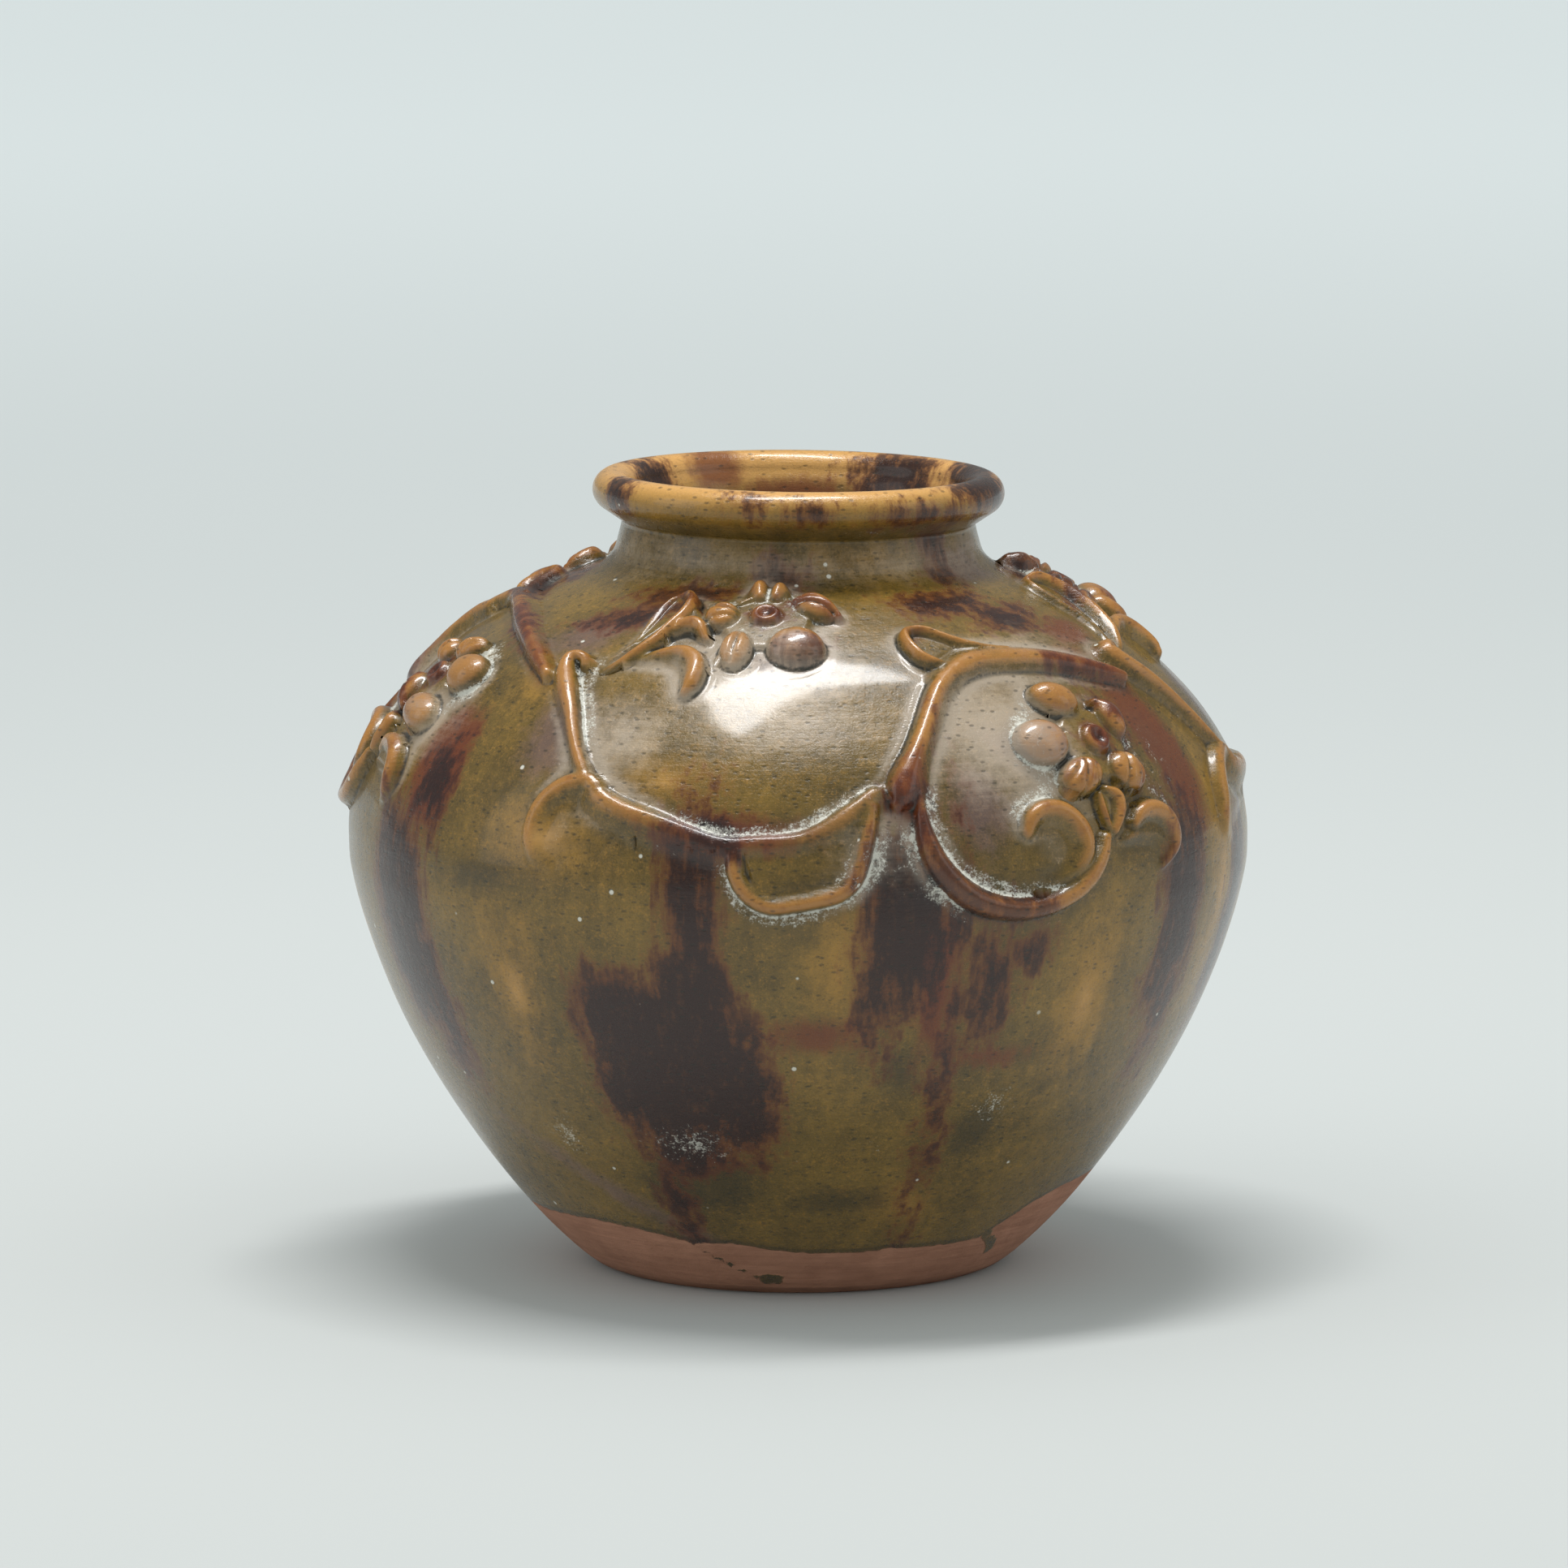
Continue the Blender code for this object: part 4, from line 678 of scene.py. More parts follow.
@dataclass
class Relief:
    """The height of the vine over the wall, drawn on a grid of the map, and what follows from it.

    The grid's cell and its lowest and highest climb are in degrees, all other sizes in mm.
    """

    wall: Wall
    cell: float = 0.16
    low: float = -20.0
    high: float = 84.0
    blend: float = 0.7
    fullness: float = 1.35
    coil_round: tuple[float, float] = (2.2, 0.62)
    petal_round: tuple[float, float] = (2.5, 0.6)
    pit_fall: float = 2.6
    pit_share: float = 0.5
    pad_share: float = 0.4
    pad_edge: float = 2.0
    arch_height: float = 3.5
    deepest_groove: float = 0.8
    stain_reach: float = 11.0
    worn: float = 0.28
    crease_size: float = 0.9
    crest_size: float = 2.4
    near_size: float = 3.2
    swell_size: float = 6.0
    swell_share: float = 0.33

    def __post_init__(self) -> None:
        """Lays out the empty grid."""
        self.columns = int(round(360 / self.cell))
        self.ups = np.arange(self.low, self.high, self.cell)
        self.row_scale = self.wall.scale(self.ups)
        self.height = np.zeros((len(self.ups), self.columns))
        self.stains = {tone: np.full_like(self.height, -FAR) for tone in Tone}
        self.shape: dict[str, Array] = {}

    def window(self, points: Array, reach: float) -> tuple[tuple[Array, Array], Array, Array]:
        """The part of the grid that a drawing can reach.

        Args:
            points: The drawing.
            reach: How far it reaches, in mm.

        Returns:
            The grid's indices, and the turns and climbs there.
        """
        edge = reach / float(self.wall.scale(points[:, 1]).min())
        rows = np.arange(max(0, int((points[:, 1].min() - edge - self.low) / self.cell)),
                         min(len(self.ups), int((points[:, 1].max() + edge - self.low) / self.cell) + 2))
        columns = np.arange(int((points[:, 0].min() - edge) / self.cell),
                            int((points[:, 0].max() + edge) / self.cell) + 2)
        across, up = np.meshgrid(columns * self.cell, self.ups[rows])
        return np.ix_(rows, columns % self.columns), across, up

    def nearest(self, course: Array, across: Array, up: Array) -> tuple[Array, Array, Array]:
        """The nearest place of a course to points.

        Args:
            course: The course. Its columns after the first two ride along.
            across: The points' turns.
            up: Their climbs.

        Returns:
            The distance in mm, the side (1 for the left hand) and the columns at the nearest place.
        """
        best = np.full(across.shape, np.inf)
        side = np.ones(across.shape)
        values = np.zeros(across.shape + (course.shape[1] - 2,))
        for start, end in zip(course, course[1:]):
            ahead = end[:2] - start[:2]
            across_from, up_from = across - start[0], up - start[1]
            share = np.clip((across_from * ahead[0] + up_from * ahead[1]) / (ahead @ ahead), 0.0, 1.0)
            away = np.hypot(across_from - share * ahead[0], up_from - share * ahead[1])
            nearer = away < best
            best[nearer] = away[nearer]
            side[nearer] = np.sign(ahead[0] * up_from - ahead[1] * across_from)[nearer]
            values[nearer] = (start[2:] + share[..., None] * (end[2:] - start[2:]))[nearer]
        return best * self.wall.scale(up), side, values

    def along(self, course: Array, steps: int, times: float,
              beyond: float = 0.0) -> tuple[Any, Array, Array, Array]:
        """The part of the grid along a course whose third column is a half width.

        Args:
            course: The course.
            steps: Spans between each two of its points.
            times: How many half widths it reaches.
            beyond: How far it reaches past them, in mm.

        Returns:
            The grid's indices, and there the distance, the side and the course's further columns.
        """
        fine = smooth_course(course, steps)
        place, across, up = self.window(fine, fine[:, 2].max() * times + beyond)
        return place, *self.nearest(fine, across, up)

    def join(self, place: tuple[Array, Array], value: Array) -> None:
        """Adds clay to the relief: the higher of both, with a smooth joint."""
        old = self.height[place]
        lower = np.minimum(old, value)
        joint = np.maximum(self.blend - np.abs(old - value), 0) ** 2 / (4 * self.blend)
        self.height[place] = np.maximum(old, value) + joint * np.clip(lower / self.blend, 0, 1)

    def ridge(self, course: Array, left: Edge, right: Edge) -> None:
        """Draws a ridge.

        Args:
            course: The course (across, up, half width in mm, height in mm).
            left: How its left side falls.
            right: How its right side falls.
        """
        widest = self.fullness * max(left.value[0], right.value[0])
        place, away, side, values = self.along(course, 5, widest)
        total = 0.0
        for edge, here in ((left, side >= 0), (right, side < 0)):
            spread, steep = edge.value
            share = np.clip(away / (values[..., 0] * self.fullness * spread), 0, 1)
            fall = steep * dome(share, self.coil_round) + (1 - steep) * np.cos(share * math.pi / 2) ** 2
            total = total + np.where(here, fall, 0) * values[..., 1]
        self.join(place, total)

    def groove(self, course: Array) -> None:
        """Presses a groove (across, up, half width in mm, depth in mm)."""
        place, away, _, values = self.along(course, 5, 3)
        cut = values[..., 1] * np.exp(-((away / values[..., 0]) ** 2))
        self.height[place] -= np.minimum(cut, self.deepest_groove * self.height[place])

    def stain(self, course: Array, tone: Tone) -> None:
        """Stains a course (across, up, half width in mm) with a tone."""
        place, away, _, values = self.along(course, 4, 1, self.stain_reach)
        layer = self.stains[tone]
        layer[place] = np.maximum(layer[place], values[..., 0] - away)

    def sheet(self, outline: Array, level: float, softness: float) -> None:
        """Lays a thin sheet of clay.

        Args:
            outline: Its outline.
            level: Its height in mm.
            softness: How wide its edge falls, in mm.
        """
        ring = smooth_ring(outline, 4)
        closed = np.vstack([ring, ring[:1]])
        place, across, up = self.window(ring, 1.0)
        away = self.nearest(closed, across, up)[0]
        inside = np.zeros(across.shape, bool)
        for start, end in zip(closed, closed[1:]):
            crosses = (start[1] > up) != (end[1] > up)
            run = np.where(crosses, (up - start[1]) / (end[1] - start[1] + 1e-12), 0)
            inside ^= crosses & (across < start[0] + run * (end[0] - start[0]))
        self.join(place, np.where(inside, level * ease(away, 0, softness), 0))

    def cushion(self, centre: Array, petal: Sequence[float], tilt: float, base: float) -> None:
        """Lays a pressed cushion of clay, such as a petal.

        Args:
            centre: Its centre.
            petal: Half its length and half its width in degrees, and its height in mm.
            tilt: Its tilt in degrees.
            base: The height of the pad that it lies on, in mm.
        """
        half_long, half_wide, height = petal
        place, across, up = self.window(ellipse(*centre, half_long, half_wide, tilt), 2.0)
        lean = tilt * DEGREE
        x = (across - centre[0]) * math.cos(lean) + (up - centre[1]) * math.sin(lean)
        y = (up - centre[1]) * math.cos(lean) - (across - centre[0]) * math.sin(lean)
        share = np.clip(np.hypot(x / half_long, y / half_wide), 0, 1)
        under = base * self.pad_share
        rise = under + (height - under) * dome(share, self.petal_round)
        self.join(place, np.where(share < 1, rise, 0))

    def pit(self, centre: Array, radius: float, depth: float) -> None:
        """Presses a round pit, its radius in degrees and its depth in mm."""
        place, across, up = self.window(np.array([centre]), radius * 5)
        away = np.hypot(across - centre[0], up - centre[1]) / radius
        self.height[place] -= depth * np.exp(-(away**self.pit_fall))

    def blurred(self, values: Array, size: float) -> Array:
        """The values smoothed over a size in mm."""
        spread = size / (self.row_scale * self.cell)
        waves = np.fft.rfftfreq(self.columns)[None] * 2 * math.pi
        smooth = np.fft.irfft(np.fft.rfft(values, axis=1) * np.exp(-((waves * spread[:, None]) ** 2) / 2),
                              self.columns, axis=1)
        rows, reach = len(self.ups), int(spread.max() * 3) + 1
        weight = np.exp(-((np.arange(-reach, reach + 1)[:, None] / spread) ** 2) / 2)
        weight /= weight.sum(axis=0)
        padded = np.pad(smooth, ((reach, reach), (0, 0)), mode="edge")
        return sum(part[:, None] * padded[at:at + rows] for at, part in enumerate(weight))

    def bloom(self, repeat: Repeat, name: str) -> None:
        """Draws a flower of a repeat: its pad, petals and boss."""
        drawn, boss = BLOOMS[name], repeat.boss(name)
        self.sheet(ellipse(*boss, drawn.pad_radius, drawn.pad_radius), drawn.pad_height, self.pad_edge)
        for across, up, half_long, half_wide, tilt, height in drawn.petals:
            centre = repeat.turned(np.array((across, up)), name)
            self.cushion(centre, (half_long, half_wide, height), tilt + repeat.lean(name), drawn.pad_height)
        size = drawn.boss_radius
        self.cushion(boss, (size, size, drawn.boss_height), 0.0, drawn.pad_height)

    def draw(self, repeats: Sequence[Repeat]) -> None:
        """Draws the vine and works out its creases, crests and swells.

        Args:
            repeats: The repeats of the vine.
        """
        for repeat in repeats:
            for leaf in LEAVES.values():
                self.sheet(repeat.to_map(leaf.half, leaf.outline), leaf.level, leaf.softness)
            arch = repeat.to_map(Half.ARCHED, ARCH)
            width = arch[:, 2] * self.wall.scale(arch[:, 1]) / 2
            height = np.full(len(arch), self.arch_height)
            self.ridge(np.stack([*arch.T[:2], width, height], axis=1), Edge.ROUND, Edge.CRISP)
            for name in BLOOMS:
                self.bloom(repeat, name)
            for ridge in RIDGES:
                self.ridge(repeat.to_map(ridge.half, ridge.course), ridge.left, ridge.right)
            for half, courses in GROOVES.items():
                for course in courses:
                    self.groove(repeat.to_map(half, course))
            for name, drawn in BLOOMS.items():
                self.pit(repeat.boss(name), drawn.boss_radius * self.pit_share,
                         drawn.boss_height * self.pit_share)
            for (half, tone), courses in STAINS.items():
                for course in courses:
                    self.stain(repeat.to_map(half, course), tone)
        self.height = self.blurred(self.height, self.worn)
        self.shape = {"crease": self.blurred(self.height, self.crease_size) - self.height,
                      "crest": self.height - self.blurred(self.height, self.crest_size),
                      "near": self.blurred(self.height, self.near_size)}
        self.swell = self.blurred(self.height, self.swell_size) * self.swell_share

    def sample(self, values: Array, across: Array, up: Array) -> Array:
        """Reads a grid at points.

        Args:
            values: The grid.
            across: The points' turns.
            up: Their climbs.

        Returns:
            The values there. Below and above the grid it is the grid's edge.
        """
        x = (np.asarray(across) / self.cell) % self.columns
        y = np.clip((np.asarray(up) - self.low) / self.cell, 0, len(self.ups) - 1.001)
        left, row = np.floor(x).astype(int) % self.columns, np.floor(y).astype(int)
        right, x, y = (left + 1) % self.columns, x - np.floor(x), y - row
        return ((values[row, left] * (1 - x) + values[row, right] * x) * (1 - y)
                + (values[row + 1, left] * (1 - x) + values[row + 1, right] * x) * y)


# ---- the glaze's marks ----------------------------------------------------------------------------


@dataclass(frozen=True)
class Mark:
    """A patch or run of one tone: its turn, its slant length from the foot, and its half sizes in mm."""

    tone: Tone
    turn: float
    slant: float
    half_width: float
    half_height: float
    lean: float = 0.0
    square: float = 2.6


def marks(rows: dict[Tone, Sequence[Sequence[float]]]) -> tuple[Mark, ...]:
    """Marks from rows of their values, which are given by tone."""
    return tuple(Mark(tone, *row) for tone, group in rows.items() for row in group)


FRONT_MARKS = marks({
    Tone.BROWN: (
        (-17.5, 88, 22, 25), (-25, 103, 11, 13), (-9, 80, 10, 19), (-13.4, 130, 6.5, 25, 0, 4),
        (-14, 112, 10, 12), (-11, 153, 7, 5), (-22, 41, 2, 15), (-17, 62, 12, 8), (13.5, 129, 12, 21, 0, 4),
        (10, 112, 4, 12), (20.5, 97, 1.7, 26), (25.5, 113, 5, 12, 0, 3), (30, 121, 5, 4),
        (57.5, 126, 9, 27, 0, 3), (59, 102, 5, 17), (76, 120, 7, 24), (-62, 122, 13, 30, 0, 3),
        (-58, 93, 6, 14), (-56, 160, 7, 12), (-38, 224, 9, 6, 1.0), (-30, 237, 9, 4, 1.0), (37, 231, 10, 5),
        (50, 222, 9, 5),
    ),
    Tone.RED: (
        (-8, 154, 18, 5), (18, 112, 5, 22), (60, 172, 9, 24, -0.12), (-57, 166, 11, 18), (62, 212, 9, 6),
        (53, 203, 11, 4), (2, 99, 12, 5), (27, 90, 11, 2.5),
    ),
    Tone.VIOLET: (
        (-37.5, 179, 9, 12), (-45, 214, 12, 9, 0.5), (24, 160, 9, 12), (34, 176, 12, 8),
        (-33, 40, 6, 20, -0.89),
    ),
    Tone.GREEN: (
        (-43.5, 139, 18, 4.5), (14.5, 86, 5, 9), (-17, 50, 17, 13), (8, 42, 14, 5), (28, 66, 7, 9),
    ),
    Tone.AMBER: (
        (-34, 150, 20, 11), (-18, 168, 16, 9), (69, 130, 9, 42), (-40, 108, 10, 22), (5, 118, 7, 26),
        (41, 104, 10, 26), (-45, 196, 12, 9), (20, 40, 10, 8),
    ),
    Tone.CRUST: ((9.5, 147, 10, 7, 0.3), (57, 163, 4, 13), (16, 137, 7, 3)),
    # Pale weathering on the shoulder, partly painted sheen in place of the soft reflection of the lamp
    # above
    Tone.HAZE: (
        (-7, 205, 34, 22), (0, 185, 24, 14), (30, 180, 26, 26), (45, 208, 24, 12), (-26, 180, 18, 18),
        (-65, 178, 18, 16), (10, 148, 16, 10),
    ),
    Tone.SPECK: ((-17, 63, 22, 13), (11, 62, 14, 8), (-21, 105, 9, 6), (30, 74, 12, 14), (-40, 62, 12, 16)),
})
COLLAR_MARKS = marks({
    Tone.GREEN: ((-5, 248, 1.4, 9), (6, 243, 12, 3)),
    Tone.BROWN: (
        (-6, 246, 4, 4), (70, 275, 16, 9), (100, 280, 14, 8), (-15, 270, 2.2, 1.5), (2, 268, 2.5, 1.2),
        (-62, 270, 5, 5), (40, 266, 6, 2), (-118, 284, 8, 7), (142, 284, 12, 8), (47, 250, 3, 8),
    ),
    Tone.RED: ((180, 292, 15, 6), (-150, 282, 8, 7)),
    Tone.VIOLET: ((60, 246, 12, 8),),
    # The lip's amber ring, which the pale amber coat paints paler as painted light on the lip's front
    Tone.AMBER: ((15, 250, 14, 5), (0, 279, 400, 18)),
    Tone.CRUST: ((30, 259, 26, 2.5), (78, 262, 12, 5)),
    # Painted light: a pale band round the neck, which lies in the shadow of the lip
    Tone.HAZE: ((0, 249, 400, 9),),
})
# The glaze ends above the foot: (turn, slant length in mm)
GLAZE_EDGE = (
    (-180, 26), (-150, 31), (-120, 27), (-90, 24), (-75, 27), (-60, 28), (-45, 29), (-36, 28), (-28, 26),
    (-22, 24), (-14, 25), (-8, 23), (0, 21.5), (10, 21), (20, 22), (32, 21.5), (42, 22), (46, 27), (52, 34),
    (60, 38), (75, 39), (95, 34), (115, 27), (140, 24), (160, 25), (180, 26),
)
# Drips past the glaze's edge: the half width in mm and the course (turn, slant length in mm)
DRIPS = (
    (0.75, ((-28, 29), (-22, 22), (-16, 15), (-11, 10.5), (-8.5, 9))),
    (1.2, ((-9.3, 8.6), (-7.5, 6.6), (-5.2, 7.2), (-4.6, 9.2), (-6.6, 10.4), (-8.8, 9.6))),
    (1.5, ((44, 23), (48, 19), (50, 15))),
)


class GlazeMap:
    """The fields of the glaze's tones, worked out at points of the wall. Each is in mm, above 0 inside."""

    OTHER_SIDES = (126.0, -126.0)
    # Only marks within this turn of the front are repeated
    REPEATED = 43.0
    # The drips lie below this slant length in mm, and within this turn of the front
    DRIP_SLANT, DRIP_TURN = 45.0, 70.0

    def __init__(self) -> None:
        """Repeats the front's marks on the sides that the photograph doesn't show."""
        self.marks = list(FRONT_MARKS) + list(COLLAR_MARKS)
        behind = [mark for mark in FRONT_MARKS if abs(mark.turn) < self.REPEATED]
        for turn in self.OTHER_SIDES:
            flip = math.copysign(1, turn)
            self.marks += [Mark(mark.tone, mark.turn * flip + turn, mark.slant, mark.half_width,
                                mark.half_height, mark.lean * flip, mark.square) for mark in behind]

    def fields(self, across: Array, slant: Array, radius: Array) -> Array:
        """The tones' fields.

        Args:
            across: Turns in degrees.
            slant: Slant lengths in mm.
            radius: Radii in mm.

        Returns:
            One column for each tone.
        """
        made = np.full((len(across), len(Tone)), -FAR)
        for mark in self.marks:
            beside = (across - mark.turn - mark.lean * (slant - mark.slant) + 180) % 360 - 180
            out = np.abs(beside * DEGREE * radius) / mark.half_width
            high = np.abs(slant - mark.slant) / mark.half_height
            size = min(mark.half_width, mark.half_height)
            reach = (1 - (out**mark.square + high**mark.square) ** (1 / mark.square)) * size
            column = made[:, mark.tone.value]
            np.maximum(column, reach, out=column)
        return made

    def bare(self, across: Array, slant: Array, radius: Array) -> Array:
        """How far below the glaze's edge a point lies, in mm, with the drips left glazed.

        Args:
            across: Turns in degrees.
            slant: Slant lengths in mm.
            radius: Radii in mm.

        Returns:
            The field, above 0 on bare clay.
        """
        turns, edges = np.array(GLAZE_EDGE, float).T
        gap = np.interp((across + 180) % 360 - 180, turns, edges) - slant
        low = np.flatnonzero((slant < self.DRIP_SLANT) & (np.abs(across) < self.DRIP_TURN))
        for width, course in DRIPS:
            away = np.full(len(low), FAR)
            for turn, height in smooth_course(np.array(course, float), 6):
                step = np.hypot((across[low] - turn) * DEGREE * radius[low], slant[low] - height)
                np.minimum(away, step, out=away)
            gap[low] = np.minimum(gap[low], away - width)
        return gap


# ---- laid pieces ----------------------------------------------------------------------------------

# Steps of an apron outside an outline, as shares of its width
APRON = (0.07, 0.16, 0.28, 0.42, 0.58, 0.78, 1.0)


def corners(piece: bpy.types.Object) -> Array:
    """The piece's vertices, one per row."""
    flat = np.empty(len(piece.data.vertices) * 3)
    piece.data.vertices.foreach_get("co", flat)
    return flat.reshape(-1, 3)


def move_corners(piece: bpy.types.Object, points: Array) -> None:
    """Moves the piece's vertices to these points."""
    piece.data.vertices.foreach_set("co", points.ravel())
    piece.data.update()


class Bench:
    """Where the pieces are made: it lays primitives on the wall and writes what they carry."""

    # The hand's waves on the vine and the thrower's on the wall: (size, height) in mm
    WAVES = ((9.0, 0.10), (3.2, 0.05), (1.5, 0.022))
    THROWN = ((38.0, 0.28), (17.0, 0.10))
    # The slant lengths in mm between which the thrown waves rise and fade
    RISE, FADE = (18.0, 40.0), (238.0, 250.0)
    # A piece of the vine lies this far over the wall, its apron ends this far under it, both in mm
    SKIN, SUNK = 0.02, 0.10
    BACK_DEPTH = 1.4 * MM
    SEED = 7

    def __init__(self, wall: Wall, relief: Relief, glaze: GlazeMap) -> None:
        """Args:
            wall: The wall that carries the pieces.
            relief: The drawn relief.
            glaze: The marks of the glaze.
        """
        self.wall, self.relief, self.glaze = wall, relief, glaze
        self.grain = Grain(self.SEED)

    def waves(self, across: Array, up: Array, sizes: Sequence[tuple[float, float]]) -> Array:
        """The hand's unevenness in mm, of some (size, height) waves, at points of the wall."""
        points = self.wall.place(across, up, 0 * up)
        return sum(self.grain.at(points, size * MM) * height for size, height in sizes)

    def swell(self, across: Array, up: Array) -> Array:
        """The broad swells of the thrown wall in mm, which the body and the relief share."""
        slant = self.wall.slant_at(up) / MM
        rise = self.waves(across, up, self.THROWN) + self.relief.sample(self.relief.swell, across, up)
        return rise * ease(slant, *self.RISE) * (1 - ease(slant, *self.FADE))

    def lay(self, name: str, across: Array, up: Array, foot: Array, back: Array,
            hollow: Array | None = None) -> bpy.types.Object:
        """Lays a primitive sphere's rings on the relief. Its first and last rows are its poles.

        Args:
            name: The name of the piece.
            across: The rings' turns. The first and the last row each hold one point, repeated.
            up: Their climbs.
            foot: Distances in mm from the outline, above 0 inside.
            back: Where a point lies on the piece's back.
            hollow: How far to sink the front, in mm.

        Returns:
            The new object.
        """
        rows, count = up.shape
        across, up, foot, back = (part.ravel() for part in (across, up, foot, back))
        height = self.relief.sample(self.relief.height, across, up)
        lift = self.swell(across, up) + height + self.SKIN
        lift += self.waves(across, up, self.WAVES) * ease(height, 0.2, 2.0)
        lift -= self.SUNK * ease(-foot, -0.5 * foot.min(), -foot.min())
        lift -= 0 if hollow is None else hollow.ravel()
        lift = np.where(back, -self.BACK_DEPTH, lift * MM)
        bpy.ops.object.select_all(action="DESELECT")
        bpy.ops.mesh.primitive_uv_sphere_add(segments=count, ring_count=rows - 1, radius=1.0)
        piece = bpy.context.object
        piece.name = piece.data.name = name
        corner = corners(piece)
        row = np.rint(np.arccos(np.clip(corner[:, 2], -1, 1)) / math.pi * (rows - 1)).astype(int)
        column = np.rint(np.arctan2(corner[:, 1], corner[:, 0]) / (2 * math.pi) * count).astype(int) % count
        order = row * count + column
        across, up, lift = across[order], up[order], lift[order]
        move_corners(piece, self.wall.place(across, up, lift))
        self.close(piece)
        self.write(piece, across, up, self.wall.slant_at(up) / MM, self.wall.scale(up) / DEGREE)
        return piece

    @staticmethod
    def close(piece: bpy.types.Object) -> None:
        """Turns all faces of a closed piece outwards and shades it smooth."""
        bpy.ops.object.mode_set(mode="EDIT")
        bpy.ops.mesh.select_all(action="SELECT")
        bpy.ops.mesh.normals_make_consistent(inside=False)
        bpy.ops.object.mode_set(mode="OBJECT")
        bpy.ops.object.shade_smooth()
        piece.data.update()

    def write(self, piece: bpy.types.Object, across: Array, up: Array, slant: Array, radius: Array) -> None:
        """Writes what the glaze reads as attributes of the piece.

        Args:
            piece: The piece.
            across: Turns in degrees, one per vertex.
            up: Climbs in degrees.
            slant: Slant lengths in mm.
            radius: Radii in mm.
        """
        tones, drawn = self.glaze.fields(across, slant, radius), self.relief
        read = {tone.name.lower(): np.maximum(tones[:, tone.value], drawn.sample(layer, across, up))
                for tone, layer in drawn.stains.items()}
        read["bare"] = self.glaze.bare(across, slant, radius)
        read.update((name, drawn.sample(values, across, up)) for name, values in drawn.shape.items())
        for attribute, names in CARRIED.items():
            layer = piece.data.attributes.new(attribute, "FLOAT_VECTOR", "POINT")
            values = np.stack([read[name] for name in names], axis=1)
            layer.data.foreach_set("vector", np.ascontiguousarray(values, np.float32).ravel())


@dataclass
class Coil:
    """A rolled coil of clay along a course of (across, up, width in degrees)."""

    name: str
    course: Array
    apron: float = 4.0
    spacing: float = 0.5
    inner_steps: int = 19
    back_steps: int = 5
    tip_steps: int = 10
    tip_share: float = 0.8
    back_share: float = 0.9
    fineness: int = 12
    fewest_rows: int = 12

    def tipped(self, centre: Array, ahead: Array, half: Array, scale: float) -> list[Array]:
        """Adds sections past each tip, which close in a quarter circle.

        Args:
            centre: The sections' places on the map.
            ahead: Their directions.
            half: Their half widths in mm.
            scale: Millimetres per degree.

        Returns:
            The same with the tips, and each section's share of its full width.
        """
        share, same = np.ones(len(centre)), np.ones((self.tip_steps, 1))
        turn = np.linspace(0, math.pi / 2, self.tip_steps + 1)[1:, None]
        for end, sign in ((0, -1), (-1, 1)):
            reach = (half[end] + self.apron) * self.tip_share / scale
            past = centre[end] + sign * ahead[end] * reach * np.sin(turn)
            parts = [(centre, past), (ahead, ahead[end] * same), (half, half[end] * same[:, 0]),
                     (share, np.cos(turn[:, 0]))]
            centre, ahead, half, share = (np.concatenate([new[::-1], old] if end == 0 else [old, new])
                                          for old, new in parts)
        return [centre, ahead, half, share]

    def section(self, half: Array) -> Array:
        """Each section's places across its course in mm: apron, coil, apron and back."""
        inner = np.sin(np.linspace(-math.pi / 2, math.pi / 2, self.inner_steps))
        outer = np.array(APRON) * self.apron
        behind = np.linspace(self.back_share, -self.back_share, self.back_steps)
        wide = half[:, None]
        return np.concatenate([-wide - outer[::-1], wide * inner, wide + outer,
                               (wide + self.apron) * behind], axis=1)

    def build(self, bench: Bench) -> bpy.types.Object:
        """Makes the coil.

        Args:
            bench: Where it is made.

        Returns:
            The piece.
        """
        fine = smooth_course(self.course, self.fineness)
        scale = float(bench.wall.scale(fine[:, 1]).mean())
        length = np.hypot(*np.diff(fine[:, :2], axis=0).T).sum() * scale
        rows = even_steps(fine, max(self.fewest_rows, int(length / self.spacing)), False)
        half = rows[:, 2] * bench.wall.scale(rows[:, 1]) / 2
        ahead = np.gradient(rows[:, :2], axis=0)
        ahead /= np.hypot(*ahead.T)[:, None]
        centre, ahead, half, share = self.tipped(rows[:, :2], ahead, half, scale)
        side = self.section(half) * share[:, None]
        local = bench.wall.scale(centre[:, 1])[:, None]
        across = centre[:, :1] - ahead[:, 1:] * side / local
        up = centre[:, 1:] + ahead[:, :1] * side / local
        foot = half[:, None] - np.abs(side)
        last = len(centre) - 1 - self.tip_steps
        for end, part in ((self.tip_steps, slice(0, self.tip_steps)), (last, slice(last + 1, None))):
            away = np.hypot(across[part] - centre[end, 0], up[part] - centre[end, 1]) * scale
            foot[part] = np.minimum(foot[part], half[end] - away)
        back = np.zeros(side.shape, bool)
        back[:, -self.back_steps:] = True
        back[[0, -1]] = True
        return bench.lay(self.name, across, up, foot, back)


